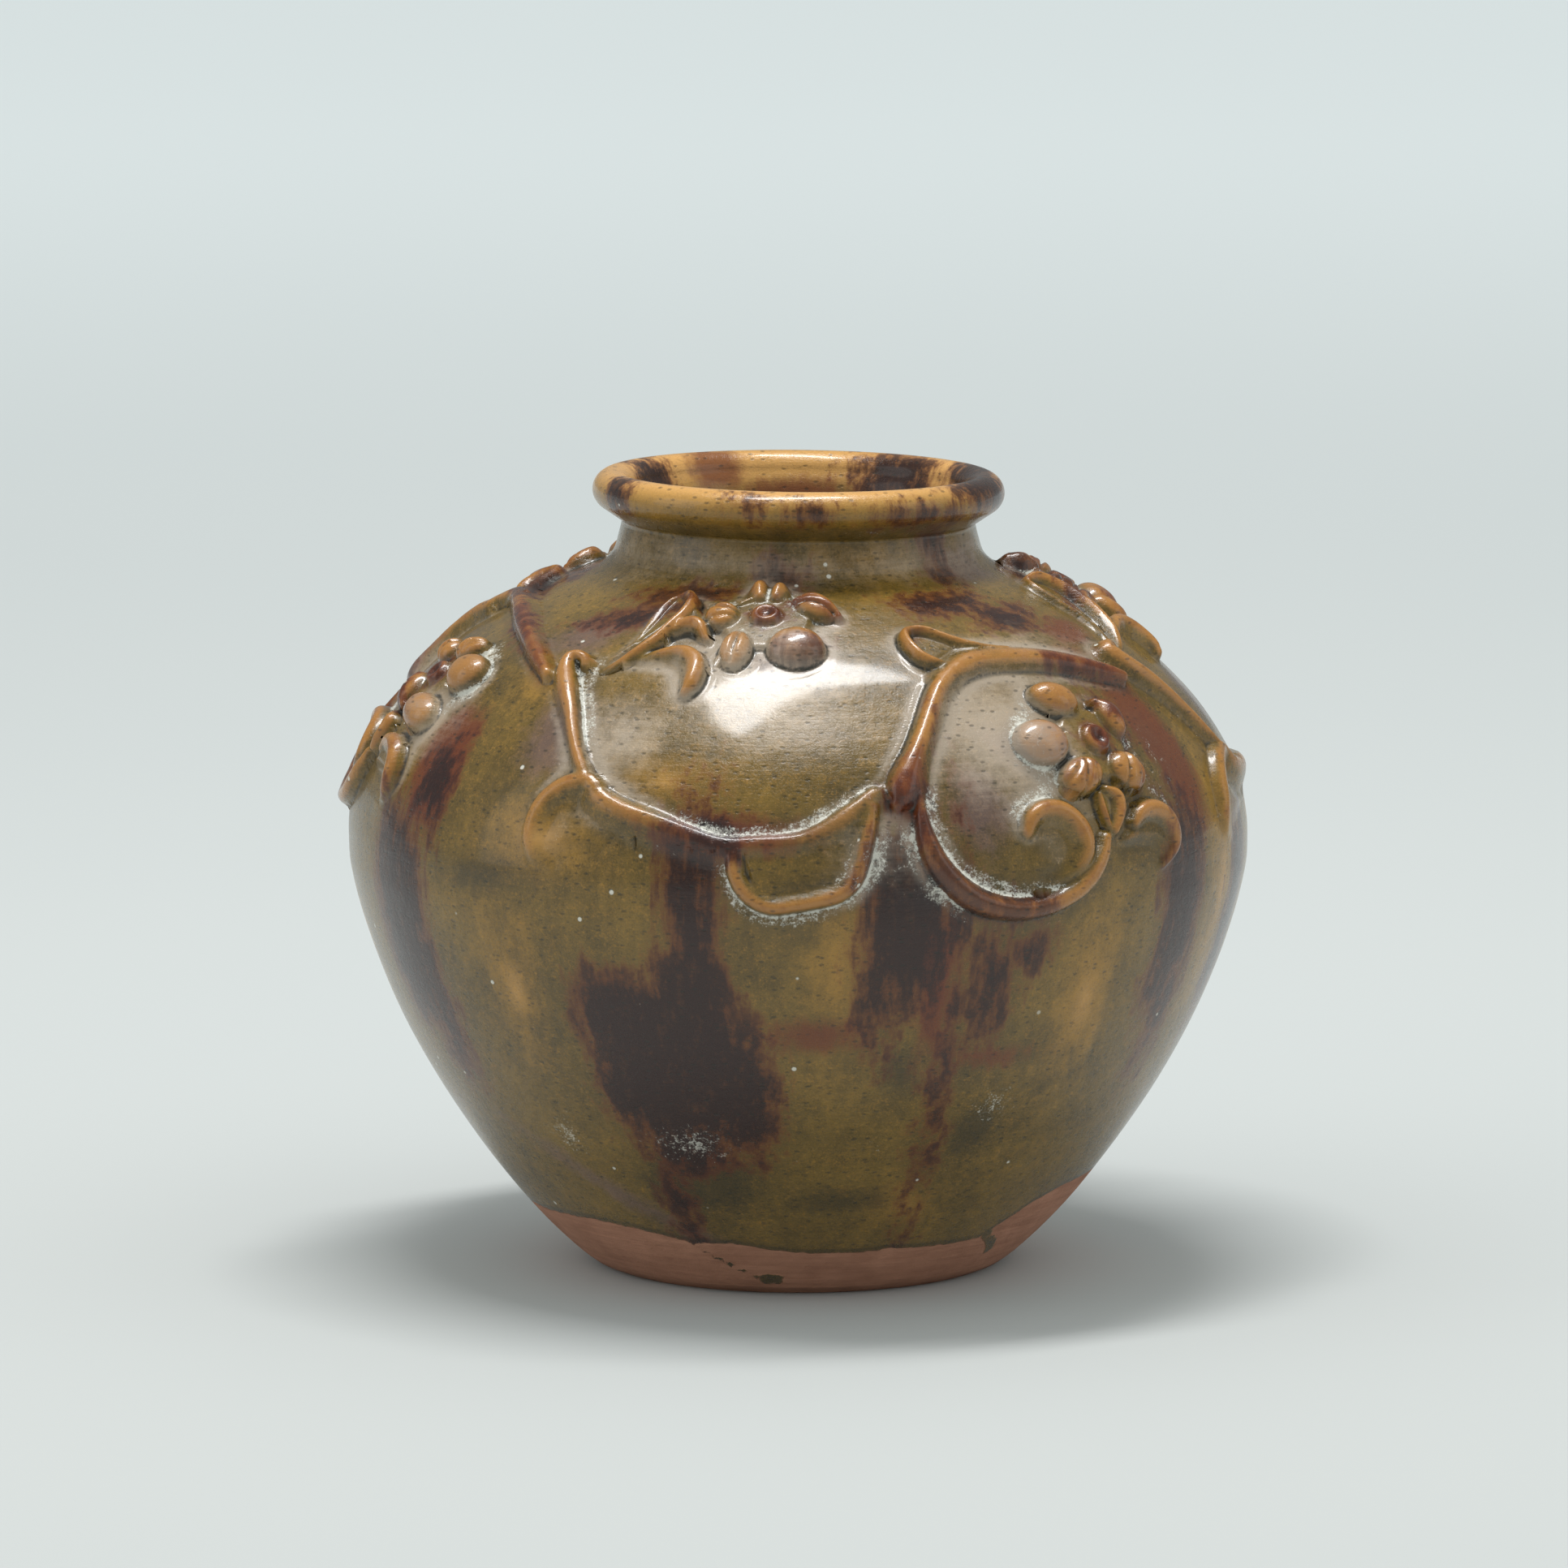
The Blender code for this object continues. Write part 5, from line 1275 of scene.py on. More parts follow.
@dataclass
class Pad:
    """A pressed piece of clay inside an outline on the map, about a middle."""

    name: str
    outline: Array
    middle: Array
    apron: float = 3.2
    hollow: tuple[Array, float] | None = None
    spacing: float = 0.5
    fineness: int = 8
    fewest_columns: int = 20
    fewest_rows: int = 6
    # The back's rings as shares of the way to the middle, and the hollow's edges as shares of its radius
    back_shares: tuple[float, ...] = (0.9, 0.5, 0.0)
    hollow_edge: tuple[float, float] = (0.95, 0.7)

    def build(self, bench: Bench) -> bpy.types.Object:
        """Makes the pad.

        Args:
            bench: Where it is made.

        Returns:
            The piece.
        """
        scale = float(bench.wall.scale(self.outline[:, 1]).mean())
        ring = smooth_ring(self.outline, self.fineness)
        length = np.hypot(*np.diff(np.vstack([ring, ring[:1]]), axis=0).T).sum() * scale
        ring = even_steps(ring, max(self.fewest_columns, int(length / self.spacing)), True)
        along = np.roll(ring, -1, axis=0) - np.roll(ring, 1, axis=0)
        normal = np.stack([along[:, 1], -along[:, 0]], axis=1)
        normal /= np.hypot(*normal.T)[:, None]
        area = np.sum(ring[:, 0] * np.roll(ring[:, 1], -1) - np.roll(ring[:, 0], -1) * ring[:, 1])
        normal *= 1 if area > 0 else -1
        reach = float(np.hypot(*(ring - self.middle).T).max()) * scale
        shares = np.linspace(0, 1, max(self.fewest_rows, int(reach / self.spacing)), endpoint=False)
        back, inner = ([ring + (self.middle - ring) * share for share in some]
                       for some in (self.back_shares, shares))
        outer = [ring + normal * share * self.apron / scale for share in APRON[::-1]]
        pole = np.broadcast_to(self.middle, ring.shape)
        grid = np.array([pole] + back + outer + inner + [pole])
        hidden = 1 + len(back)
        foot = np.ones(grid.shape[:2])
        foot[hidden:hidden + len(outer)] = -np.array(APRON[::-1])[:, None] * self.apron
        behind = np.zeros(foot.shape, bool)
        behind[:hidden] = True
        sunk = None
        if self.hollow is not None:
            centre, radius = self.hollow
            away = np.hypot(grid[..., 0] - centre[0], grid[..., 1] - centre[1])
            sunk = ease(-away, *(-radius * edge for edge in self.hollow_edge))
        return bench.lay(self.name, grid[..., 0], grid[..., 1], foot, behind, sunk)


class VineMaker:
    """Makes the pieces of the vine, repeat by repeat."""

    COILS = {"hook_stem": (Half.UPPER, HOOK, 5.0), "trough_stem": (Half.TIED, TROUGH, 7.5),
             "arch_stem": (Half.ARCHED, ARCH, 4.0), "bulb_stem": (Half.LOWER, BULB, 4.0),
             "loop_stem": (Half.LOWER, LOOP, 4.0)}
    # A flower's outline: how many points it has, and how far round each of them looks, in radians
    OUTLINE_STEPS, OUTLINE_LOOK = 40, 0.12
    BOSS_APRON, BOSS_SPACING = 0.9, 0.3

    def __init__(self, bench: Bench) -> None:
        """Args:
            bench: Where they are made.
        """
        self.bench = bench

    def flower(self, repeat: Repeat, name: str) -> dict[str, bpy.types.Object]:
        """Makes a flower, in one piece with its pad, and its boss.

        Args:
            repeat: The repeat.
            name: Which flower.

        Returns:
            Both pieces by their name in the drawing.
        """
        drawn, boss = BLOOMS[name], repeat.boss(name)
        edges = [ellipse(*boss, drawn.pad_radius, drawn.pad_radius)]
        edges += [ellipse(*repeat.turned(np.array(petal[:2], float), name), *petal[2:4],
                          petal[4] + repeat.lean(name)) for petal in drawn.petals]
        points = np.vstack([smooth_ring(edge, Pad.fineness) for edge in edges]) - boss
        angle, away = np.arctan2(points[:, 1], points[:, 0]), np.hypot(*points.T)
        steps = np.linspace(-math.pi, math.pi, self.OUTLINE_STEPS, endpoint=False)
        gaps = np.abs((angle[None] - steps[:, None] + math.pi) % (2 * math.pi) - math.pi)
        reach = np.where(gaps < self.OUTLINE_LOOK, away[None], 0).max(axis=1)
        outline = boss + np.stack([np.cos(steps), np.sin(steps)], axis=1) * reach[:, None]
        petals = Pad(repeat.name(f"{name}_flower") + "_clay", outline, boss,
                     hollow=(boss, drawn.boss_radius))
        pitted = Pad(repeat.name(f"{name}_boss") + "_clay",
                     ellipse(*boss, drawn.boss_radius, drawn.boss_radius), boss, self.BOSS_APRON,
                     spacing=self.BOSS_SPACING)
        return {f"{name}_flower": petals.build(self.bench), f"{name}_boss": pitted.build(self.bench)}

    def build(self, repeat: Repeat) -> dict[str, bpy.types.Object]:
        """Makes all pieces of a repeat.

        Args:
            repeat: The repeat.

        Returns:
            The pieces by their name in the drawing.
        """
        made = {}
        for piece, (half, course, apron) in self.COILS.items():
            drawn = repeat.to_map(half, course)[:, :3]
            made[piece] = Coil(repeat.name(piece) + "_clay", drawn, apron).build(self.bench)
        for piece, leaf in LEAVES.items():
            outline = repeat.to_map(leaf.half, leaf.outline)
            middle = repeat.to_map(leaf.half, [leaf.middle])[0]
            made[piece] = Pad(repeat.name(piece) + "_clay", outline, middle, leaf.apron).build(self.bench)
        for name in BLOOMS:
            made.update(self.flower(repeat, name))
        return made


# ---- the thrown pieces ----------------------------------------------------------------------------


@dataclass
class Turned:
    """A piece turned on the wheel from a profile of (radius, height)."""

    name: str
    round_steps: int = 520
    weld: float = 0.02 * MM
    # The lip leans to one side: the heights between which this grows, and its slope
    lean_heights: tuple[float, float] = (183 * MM, 200 * MM)
    lean: float = -0.0105

    def profile(self, wall: Wall) -> tuple[Array, Array]:
        """The closed profile and each point's slant length in mm."""
        raise NotImplementedError

    def build(self, bench: Bench) -> bpy.types.Object:
        """Spins the profile, settles it and writes what it carries.

        Args:
            bench: Where it is made.

        Returns:
            The piece.
        """
        points, slant = self.profile(bench.wall)
        bpy.ops.object.select_all(action="DESELECT")
        start = Vector((points[0][0], 0.0, points[0][1]))
        bpy.ops.mesh.primitive_plane_add(size=MM, location=start)
        piece = bpy.context.object
        piece.name = piece.data.name = self.name
        bpy.ops.object.transform_apply(location=True)
        bpy.ops.object.mode_set(mode="EDIT")
        bpy.ops.mesh.select_all(action="SELECT")
        bpy.ops.mesh.merge(type="CENTER")
        for before, after in zip(points, points[1:]):
            step = (after[0] - before[0], 0.0, after[1] - before[1])
            bpy.ops.mesh.extrude_region_move(TRANSFORM_OT_translate={"value": step})
        bpy.ops.mesh.select_all(action="SELECT")
        bpy.ops.mesh.spin(steps=self.round_steps, angle=2 * math.pi, center=(0, 0, 0), axis=(0, 0, 1))
        bpy.ops.mesh.select_all(action="SELECT")
        bpy.ops.mesh.remove_doubles(threshold=self.weld)
        bpy.ops.object.mode_set(mode="OBJECT")
        Bench.close(piece)
        self.dress(piece, points, slant, bench)
        return piece

    def dress(self, piece: bpy.types.Object, points: Array, slant: Array, bench: Bench) -> None:
        """Writes the marks of a turned piece and settles its shape.

        Args:
            piece: The piece.
            points: Its profile.
            slant: The slant length of each point of the profile, in mm, below 0 inside.
            bench: Where it is made.
        """
        corner = corners(piece)
        radius = np.hypot(corner[:, 0], corner[:, 1])
        across = np.degrees(np.arctan2(corner[:, 0], -corner[:, 1]))
        away = (radius[:, None] - points[None, :, 0]) ** 2 + (corner[:, 2:] - points[None, :, 1]) ** 2
        slant = slant[np.argmin(away, axis=1)]
        up = bench.wall.climb_at(slant * MM)
        bench.write(piece, across, up, np.abs(slant), np.maximum(radius, MM) / MM)
        lift = bench.swell(across, up) * MM
        corner += bench.wall.place(across, up, lift) - bench.wall.place(across, up, 0 * lift)
        corner[:, 2] += ease(corner[:, 2], *self.lean_heights) * corner[:, 0] * self.lean
        move_corners(piece, corner)


@dataclass
class ThrownBody(Turned):
    """The hollow pot: foot, belly and shoulder."""

    thickness: float = 6.5 * MM
    floor: float = 9.0 * MM
    floor_radius: float = 40.0 * MM
    foot_edge: float = 1.2 * MM
    joint_height: float = 190.0 * MM
    # The slant lengths at which the rows of the outer wall start, and grow finer
    start: float = 2.0 * MM
    belly: float = 112.0 * MM
    lower_rows: int = 42
    upper_rows: int = 104
    inner_rows: int = 24
    # Where the shoulder sinks under the collar
    seat: tuple[float, float] = (185.5 * MM, 188.5 * MM)
    seat_depth: float = 0.3 * MM
    # The inner wall: where it starts, and its distances from the floor and the joint
    inner_start: float = 10.0 * MM
    inner_gaps: tuple[float, float] = (4.0 * MM, 7.0 * MM)
    # The slant length in mm that stands for the inside, and those of the foot's edge and underside
    unseen: float = -150.0
    foot_marks: tuple[float, ...] = (1.0, 0.5, 0.2, 0.1, 0.0)

    def profile(self, wall: Wall) -> tuple[Array, Array]:
        """The profile, from the middle of the floor inside, up the inner wall and down the outer one."""
        joint = float(np.interp(self.joint_height, wall.height, wall.slant))
        slant = np.concatenate([np.linspace(self.start, self.belly, self.lower_rows, endpoint=False),
                                np.linspace(self.belly, joint, self.upper_rows)])
        height = np.interp(slant, wall.slant, wall.height)
        outer = wall.cut(slant, ease(height, *self.seat) * self.seat_depth)
        inner = wall.cut(np.linspace(self.inner_start, joint, self.inner_rows), self.thickness)
        over_floor, under_joint = self.inner_gaps
        inner = inner[(inner[:, 1] > self.floor + over_floor)
                      & (inner[:, 1] < self.joint_height - under_joint)]
        narrow = outer[-1, 0] - self.thickness
        throat = [(narrow, self.joint_height - self.thickness), (narrow, self.joint_height)]
        edge = self.foot_edge
        foot = [(wall.foot_radius, edge), (wall.foot_radius - edge * 0.35, 0.35 * edge),
                (wall.foot_radius - edge, 0.0), (0.75 * self.floor_radius, 0.0), (0.0, 0.0)]
        base = [(share * self.floor_radius, self.floor) for share in (0.0, 0.5, 1.0)]
        inside = np.vstack([base, inner, throat])
        points = np.vstack([inside, outer[::-1], foot])
        marks = np.concatenate([np.full(len(inside), self.unseen), slant[::-1] / MM, self.foot_marks])
        return points, marks


@dataclass
class Collar(Turned):
    """The short neck with its rolled lip."""

    lip_radius: float = 55.3 * MM
    lip_depth: float = 10.5 * MM
    lip_undercut: float = 5.0 * MM
    lip_height: float = 213.9 * MM
    throat_radius: float = 41.5 * MM
    mouth_radius: float = 45.0 * MM
    joint_height: float = 190.3 * MM
    rows: int = 26
    lip_rows: int = 34
    # Where the neck starts, and where it sinks into the shoulder
    foot_height: float = 183.5 * MM
    seat: tuple[float, float] = (184.5 * MM, 187.5 * MM)
    seat_depth: float = 0.3 * MM
    # The part of a turn that the lip's roll takes, and the bend below it
    roll_turn: tuple[float, float] = (-0.33, 0.97)
    bend: tuple[float, float] = (0.6 * MM, 0.4 * MM)
    undercut_share: float = 0.6
    # The throat's radii past its narrowest, from the lip down to the joint's foot
    throat_steps: tuple[float, ...] = (1.7 * MM, 0.3 * MM, 0.0, 1.0 * MM, 1.5 * MM)
    over_joint: float = 6.0 * MM
    under_joint: float = 5.0 * MM

    def profile(self, wall: Wall) -> tuple[Array, Array]:
        """The profile, from the joint inside, up the throat, over the lip and down the neck."""
        low = float(np.interp(self.foot_height, wall.height, wall.slant))
        slant = np.linspace(low, wall.slant[-1], self.rows)
        height = np.interp(slant, wall.slant, wall.height)
        neck = wall.cut(slant, (1 - ease(height, *self.seat)) * self.seat_depth)
        roll = self.lip_depth / 2
        middle = self.lip_height - roll
        centre = self.lip_radius - roll
        turn = np.linspace(*(share * math.pi for share in self.roll_turn), self.lip_rows)
        narrow = np.where(np.cos(turn) < 0, (centre - self.mouth_radius) / roll, 1.0)
        lip = np.stack([centre + roll * np.cos(turn) * narrow, middle + roll * np.sin(turn)], axis=1)
        bend = (neck[-1] + lip[0]) / 2 - np.array(self.bend)
        under = smooth_course(np.array([neck[-1], bend, lip[0]]), 4)[1:-1]
        heights = (middle - roll * self.undercut_share,
                   middle - roll - self.lip_undercut * self.undercut_share,
                   self.joint_height + self.over_joint, self.joint_height,
                   self.joint_height - self.under_joint)
        radii = (self.throat_radius + step for step in self.throat_steps)
        inside = smooth_course(np.array([lip[-1], *zip(radii, heights)]), 4)[1:]
        shell = np.vstack([neck, under, lip, inside])
        run = np.concatenate([[0.0], np.cumsum(np.hypot(*np.diff(shell, axis=0).T))]) + low
        points = np.vstack([shell, neck[:1]])[::-1]
        return points, np.concatenate([run / MM, [low / MM]])[::-1]


# ---- finishes -------------------------------------------------------------------------------------


def colour(red: float, green: float, blue: float) -> tuple[float, float, float, float]:
    """A colour given as it looks, from 0 to 255, as the linear value that a shader takes."""
    linear = [(part / 255 / 12.92) if part <= 10 else ((part / 255 + 0.055) / 1.055) ** 2.4
              for part in (red, green, blue)]
    return (*linear, 1.0)


class Wire:
    """A socket in an expression: arithmetic on it adds Math nodes."""

    def __init__(self, tree: "Nodes", socket: bpy.types.NodeSocket) -> None:
        """Args:
            tree: The nodes that it belongs to.
            socket: An output.
        """
        self.tree, self.socket = tree, socket

    def maths(self, operation: str, *values: Any) -> "Wire":
        """One Math node on some values."""
        return self.tree.add("ShaderNodeMath", {"operation": operation}, dict(enumerate(values)))

    def __add__(self, other: Any) -> "Wire":
        """The sum."""
        return self.maths("ADD", self, other)

    def __sub__(self, other: Any) -> "Wire":
        """The difference."""
        return self.maths("SUBTRACT", self, other)

    def __rsub__(self, other: Any) -> "Wire":
        """The difference, turned round."""
        return self.maths("SUBTRACT", other, self)

    def __mul__(self, other: Any) -> "Wire":
        """The product."""
        return self.maths("MULTIPLY", self, other)

    def __or__(self, other: Any) -> "Wire":
        """The larger of two."""
        return self.maths("MAXIMUM", self, other)

    __radd__ = __add__
    __rmul__ = __mul__

    def step(self, low: float, high: float) -> "Wire":
        """A smooth step from 0 at low to 1 at high."""
        return self.tree.add("ShaderNodeMapRange", {"interpolation_type": "SMOOTHSTEP"},
                             {"Value": self, "From Min": low, "From Max": high})

    def bell(self, middle: float, width: float) -> "Wire":
        """1 at the middle, falling to 0 at this distance from it."""
        return 1 - self.maths("ABSOLUTE", self - middle).step(0.0, width)


class Nodes:
    """The nodes of one material."""

    def __init__(self, name: str) -> None:
        """Args:
            name: The material's name.
        """
        self.material = bpy.data.materials.new(name)
        self.material.use_nodes = True
        self.tree = self.material.node_tree
        self.shader = self.tree.nodes["Principled BSDF"]

    def add(self, kind: str, settings: dict[str, Any], values: dict[Any, Any], output: Any = 0) -> Wire:
        """Adds a node.

        Args:
            kind: Its type.
            settings: What is set on the node itself, first.
            values: Values or links of its inputs, by name or number.
            output: The output to return.

        Returns:
            That output.
        """
        node = self.tree.nodes.new(kind)
        for key, value in settings.items():
            setattr(node, key, value)
        self.fill(node, values)
        return Wire(self, node.outputs[output])

    def fill(self, node: bpy.types.Node, values: dict[Any, Any]) -> None:
        """Sets or links the inputs of a node."""
        for key, value in values.items():
            if isinstance(value, Wire):
                self.tree.links.new(value.socket, node.inputs[key])
            else:
                node.inputs[key].default_value = value

    def place(self) -> Wire:
        """Object coordinates."""
        return self.add("ShaderNodeTexCoord", {}, {}, "Object")

    def stretched(self, place: Wire, scale: tuple[float, float, float]) -> Wire:
        """Coordinates stretched along the axes."""
        return self.add("ShaderNodeVectorMath", {"operation": "MULTIPLY"}, {0: place, 1: scale})

    def noise(self, place: Wire, size: float, detail: float = 3.0, rough: float = 0.55) -> Wire:
        """Noise with features of a size in mm, about 0 and mostly from -1 to 1."""
        made = self.add("ShaderNodeTexNoise", {}, {
            "Vector": place, "Scale": 1 / (size * MM), "Detail": detail, "Roughness": rough}, "Fac")
        return (made - 0.5) * 3.0

    def spots(self, place: Wire, size: float) -> tuple[Wire, Wire]:
        """Cells of a size in mm: the distance to a cell's point, and the cell's random value."""
        values = {"Vector": place, "Scale": 1 / (size * MM)}
        away = self.add("ShaderNodeTexVoronoi", {}, values, "Distance")
        cell = self.add("ShaderNodeSeparateColor", {}, {0: Wire(self, away.socket.node.outputs["Color"])})
        return away, cell

    def parts(self, name: str) -> tuple[Wire, ...]:
        """The three parts of an attribute."""
        read = self.add("ShaderNodeAttribute", {"attribute_name": name}, {}, "Vector")
        first = self.add("ShaderNodeSeparateXYZ", {}, {0: read})
        return tuple(Wire(self, socket) for socket in first.socket.node.outputs)

    def blend(self, factor: Any, first: Any, second: Any) -> Wire:
        """A mix of two colours."""
        node = self.tree.nodes.new("ShaderNodeMix")
        node.data_type = "RGBA"
        self.fill(node, {0: factor, 6: first, 7: second})
        return Wire(self, node.outputs[2])


class Hue(Enum):
    """The glaze's colours as they look, from 0 to 255, and the pale colours of its painted sheen and of the
    painted light on the lip.
    """

    OLIVE = (124, 97, 38)
    DARK = (64, 52, 22)
    GOLD = (170, 124, 46)
    AMBER = (180, 121, 56)
    # The lip's amber, painted paler as painted light on the front of the lip
    HONEY = (218, 164, 96)
    BROWN = (36, 14, 11)
    RED = (100, 42, 16)
    GREEN = (22, 27, 20)
    VIOLET = (104, 82, 84)
    # Pale weathering and painted sheen
    HAZE = (182, 166, 148)
    CRUST = (214, 212, 200)
    SLATE = (58, 68, 70)
    CLAY = (186, 136, 110)
    CLAY_DARK = (140, 96, 74)


@dataclass(frozen=True)
class Coat:
    """A hue laid where the weighted sum of some readings, and a constant, steps from low to high."""

    hue: Hue
    strength: float
    low: float
    high: float
    weights: dict[str, float]
    plus: float = 0.0


@dataclass(frozen=True)
class Spots:
    """Sparse spots of a hue: their cells, and the steps of distance and chance that leave a spot."""

    name: str
    hue: Hue
    strength: float
    stretch: tuple[float, float, float]
    size: float
    distance: tuple[float, float]
    chance: tuple[float, float]


# Each noise: its stretch along the axes, the size of a feature in mm, its detail and its roughness
NOISES = {
    "runs": ((1, 1, 0.12), 3.6, 5, 0.6), "cloud": ((1, 1, 1), 34.0, 3, 0.55),
    "patch": ((1, 1, 1), 9.0, 4, 0.6), "fleck": ((1, 1, 1), 2.2, 5, 0.7),
    "dust": ((1, 1, 1), 0.55, 3, 0.7), "turning": ((0.05, 0.05, 1), 1.5, 4, 0.7),
    "grit": ((0.7, 0.7, 1.2), 1.3, 5, 0.8),
}
GROUND_COATS = (
    Coat(Hue.OLIVE, 1.0, -0.9, 0.8, {"cloud": 0.5, "patch": 0.35, "runs": 0.3}),
    Coat(Hue.GOLD, 0.6, -0.3, 1.3, {"amber": 0.09, "cloud": 0.4, "patch": 0.4, "runs": 0.35}, 0.1),
    Coat(Hue.GOLD, 0.5, 0.0, 1.3, {"fleck": 1.0, "dust": 0.9, "turning": 0.4}),
    Coat(Hue.DARK, 0.7, 0.1, 1.3, {"fleck": -0.9, "dust": -1.0, "turning": 0.5}),
    # Painted light: where the amber runs thickest, chiefly round the lip, it is painted paler in place of
    # light on the lip's front
    Coat(Hue.HONEY, 0.75, 5.0, 15.0, {"amber": 1.0}),
    Coat(Hue.DARK, 0.7, 0.1, 0.9, {"grit": 1.0}),
    Coat(Hue.GOLD, 0.6, 0.1, 0.9, {"grit": -1.0}),
    Coat(Hue.GREEN, 0.6, -3.0, 5.0, {"green": 1.0, "patch": 5.0, "runs": 3.0, "grit": 2.0}),
    Coat(Hue.VIOLET, 0.55, -3.0, 6.0, {"violet": 1.0, "patch": 5.0, "fleck": 3.0}),
)
IRON_COATS = (
    Coat(Hue.RED, 0.8, -2.6, 3.0, {"red": 1.0, "ragged": 0.6}),
    Coat(Hue.RED, 0.7, -5.0, 0.5, {"brown": 1.0, "ragged": 1.3}),
)
POOLS = Coat(Hue.GREEN, 0.85, 0.35, 1.0, {"crease": 1.5, "fleck": 0.3, "patch": 0.25, "dust": 0.15})
SPOTS = (
    Spots("specks", Hue.GREEN, 0.5, (0.6, 0.6, 1.3), 1.8, (0.34, 0.12), (0.4, 0.6)),
    Spots("pits", Hue.CRUST, 0.8, (1, 1, 1), 8.0, (0.1, 0.06), (0.82, 0.84)),
)


class Work:
    """A glaze in the making: its nodes, what it reads at a place, by name, and the colour laid so far."""

    def __init__(self, name: str, ground: Hue) -> None:
        """Args:
            name: The material's name.
            ground: The hue that lies lowest.
        """
        self.nodes = Nodes(name)
        self.place = self.nodes.place()
        self.laid: Any = colour(*ground.value)
        self.reads: dict[str, Wire] = {}
        for attribute, names in CARRIED.items():
            self.reads.update(zip(names, self.nodes.parts(attribute)))
        for noise, (stretch, *kind) in NOISES.items():
            self.reads[noise] = self.nodes.noise(self.nodes.stretched(self.place, stretch), *kind)

    def keep(self, name: str, value: Wire) -> Wire:
        """Keeps a value as a reading of this name."""
        self.reads[name] = value
        return value

    def mix(self, plus: float = 0.0, **weights: float) -> Wire:
        """The weighted sum of some readings.

        Args:
            plus: What is added last.
            weights: The weight of each reading, by its name.

        Returns:
            The sum.
        """
        first, *others = (self.reads[name] if weight == 1 else self.reads[name] * weight
                          for name, weight in weights.items())
        total = sum(others, first)
        return total + plus if plus else total

    def lay(self, hue: Hue | Wire, factor: Wire) -> None:
        """Lays a hue over what is there."""
        over = colour(*hue.value) if isinstance(hue, Hue) else hue
        self.laid = self.nodes.blend(factor, self.laid, over)

    def coat(self, coat: Coat) -> None:
        """Lays one of the coats."""
        step = self.mix(coat.plus, **coat.weights).step(coat.low, coat.high)
        self.lay(coat.hue, step if coat.strength == 1 else step * coat.strength)


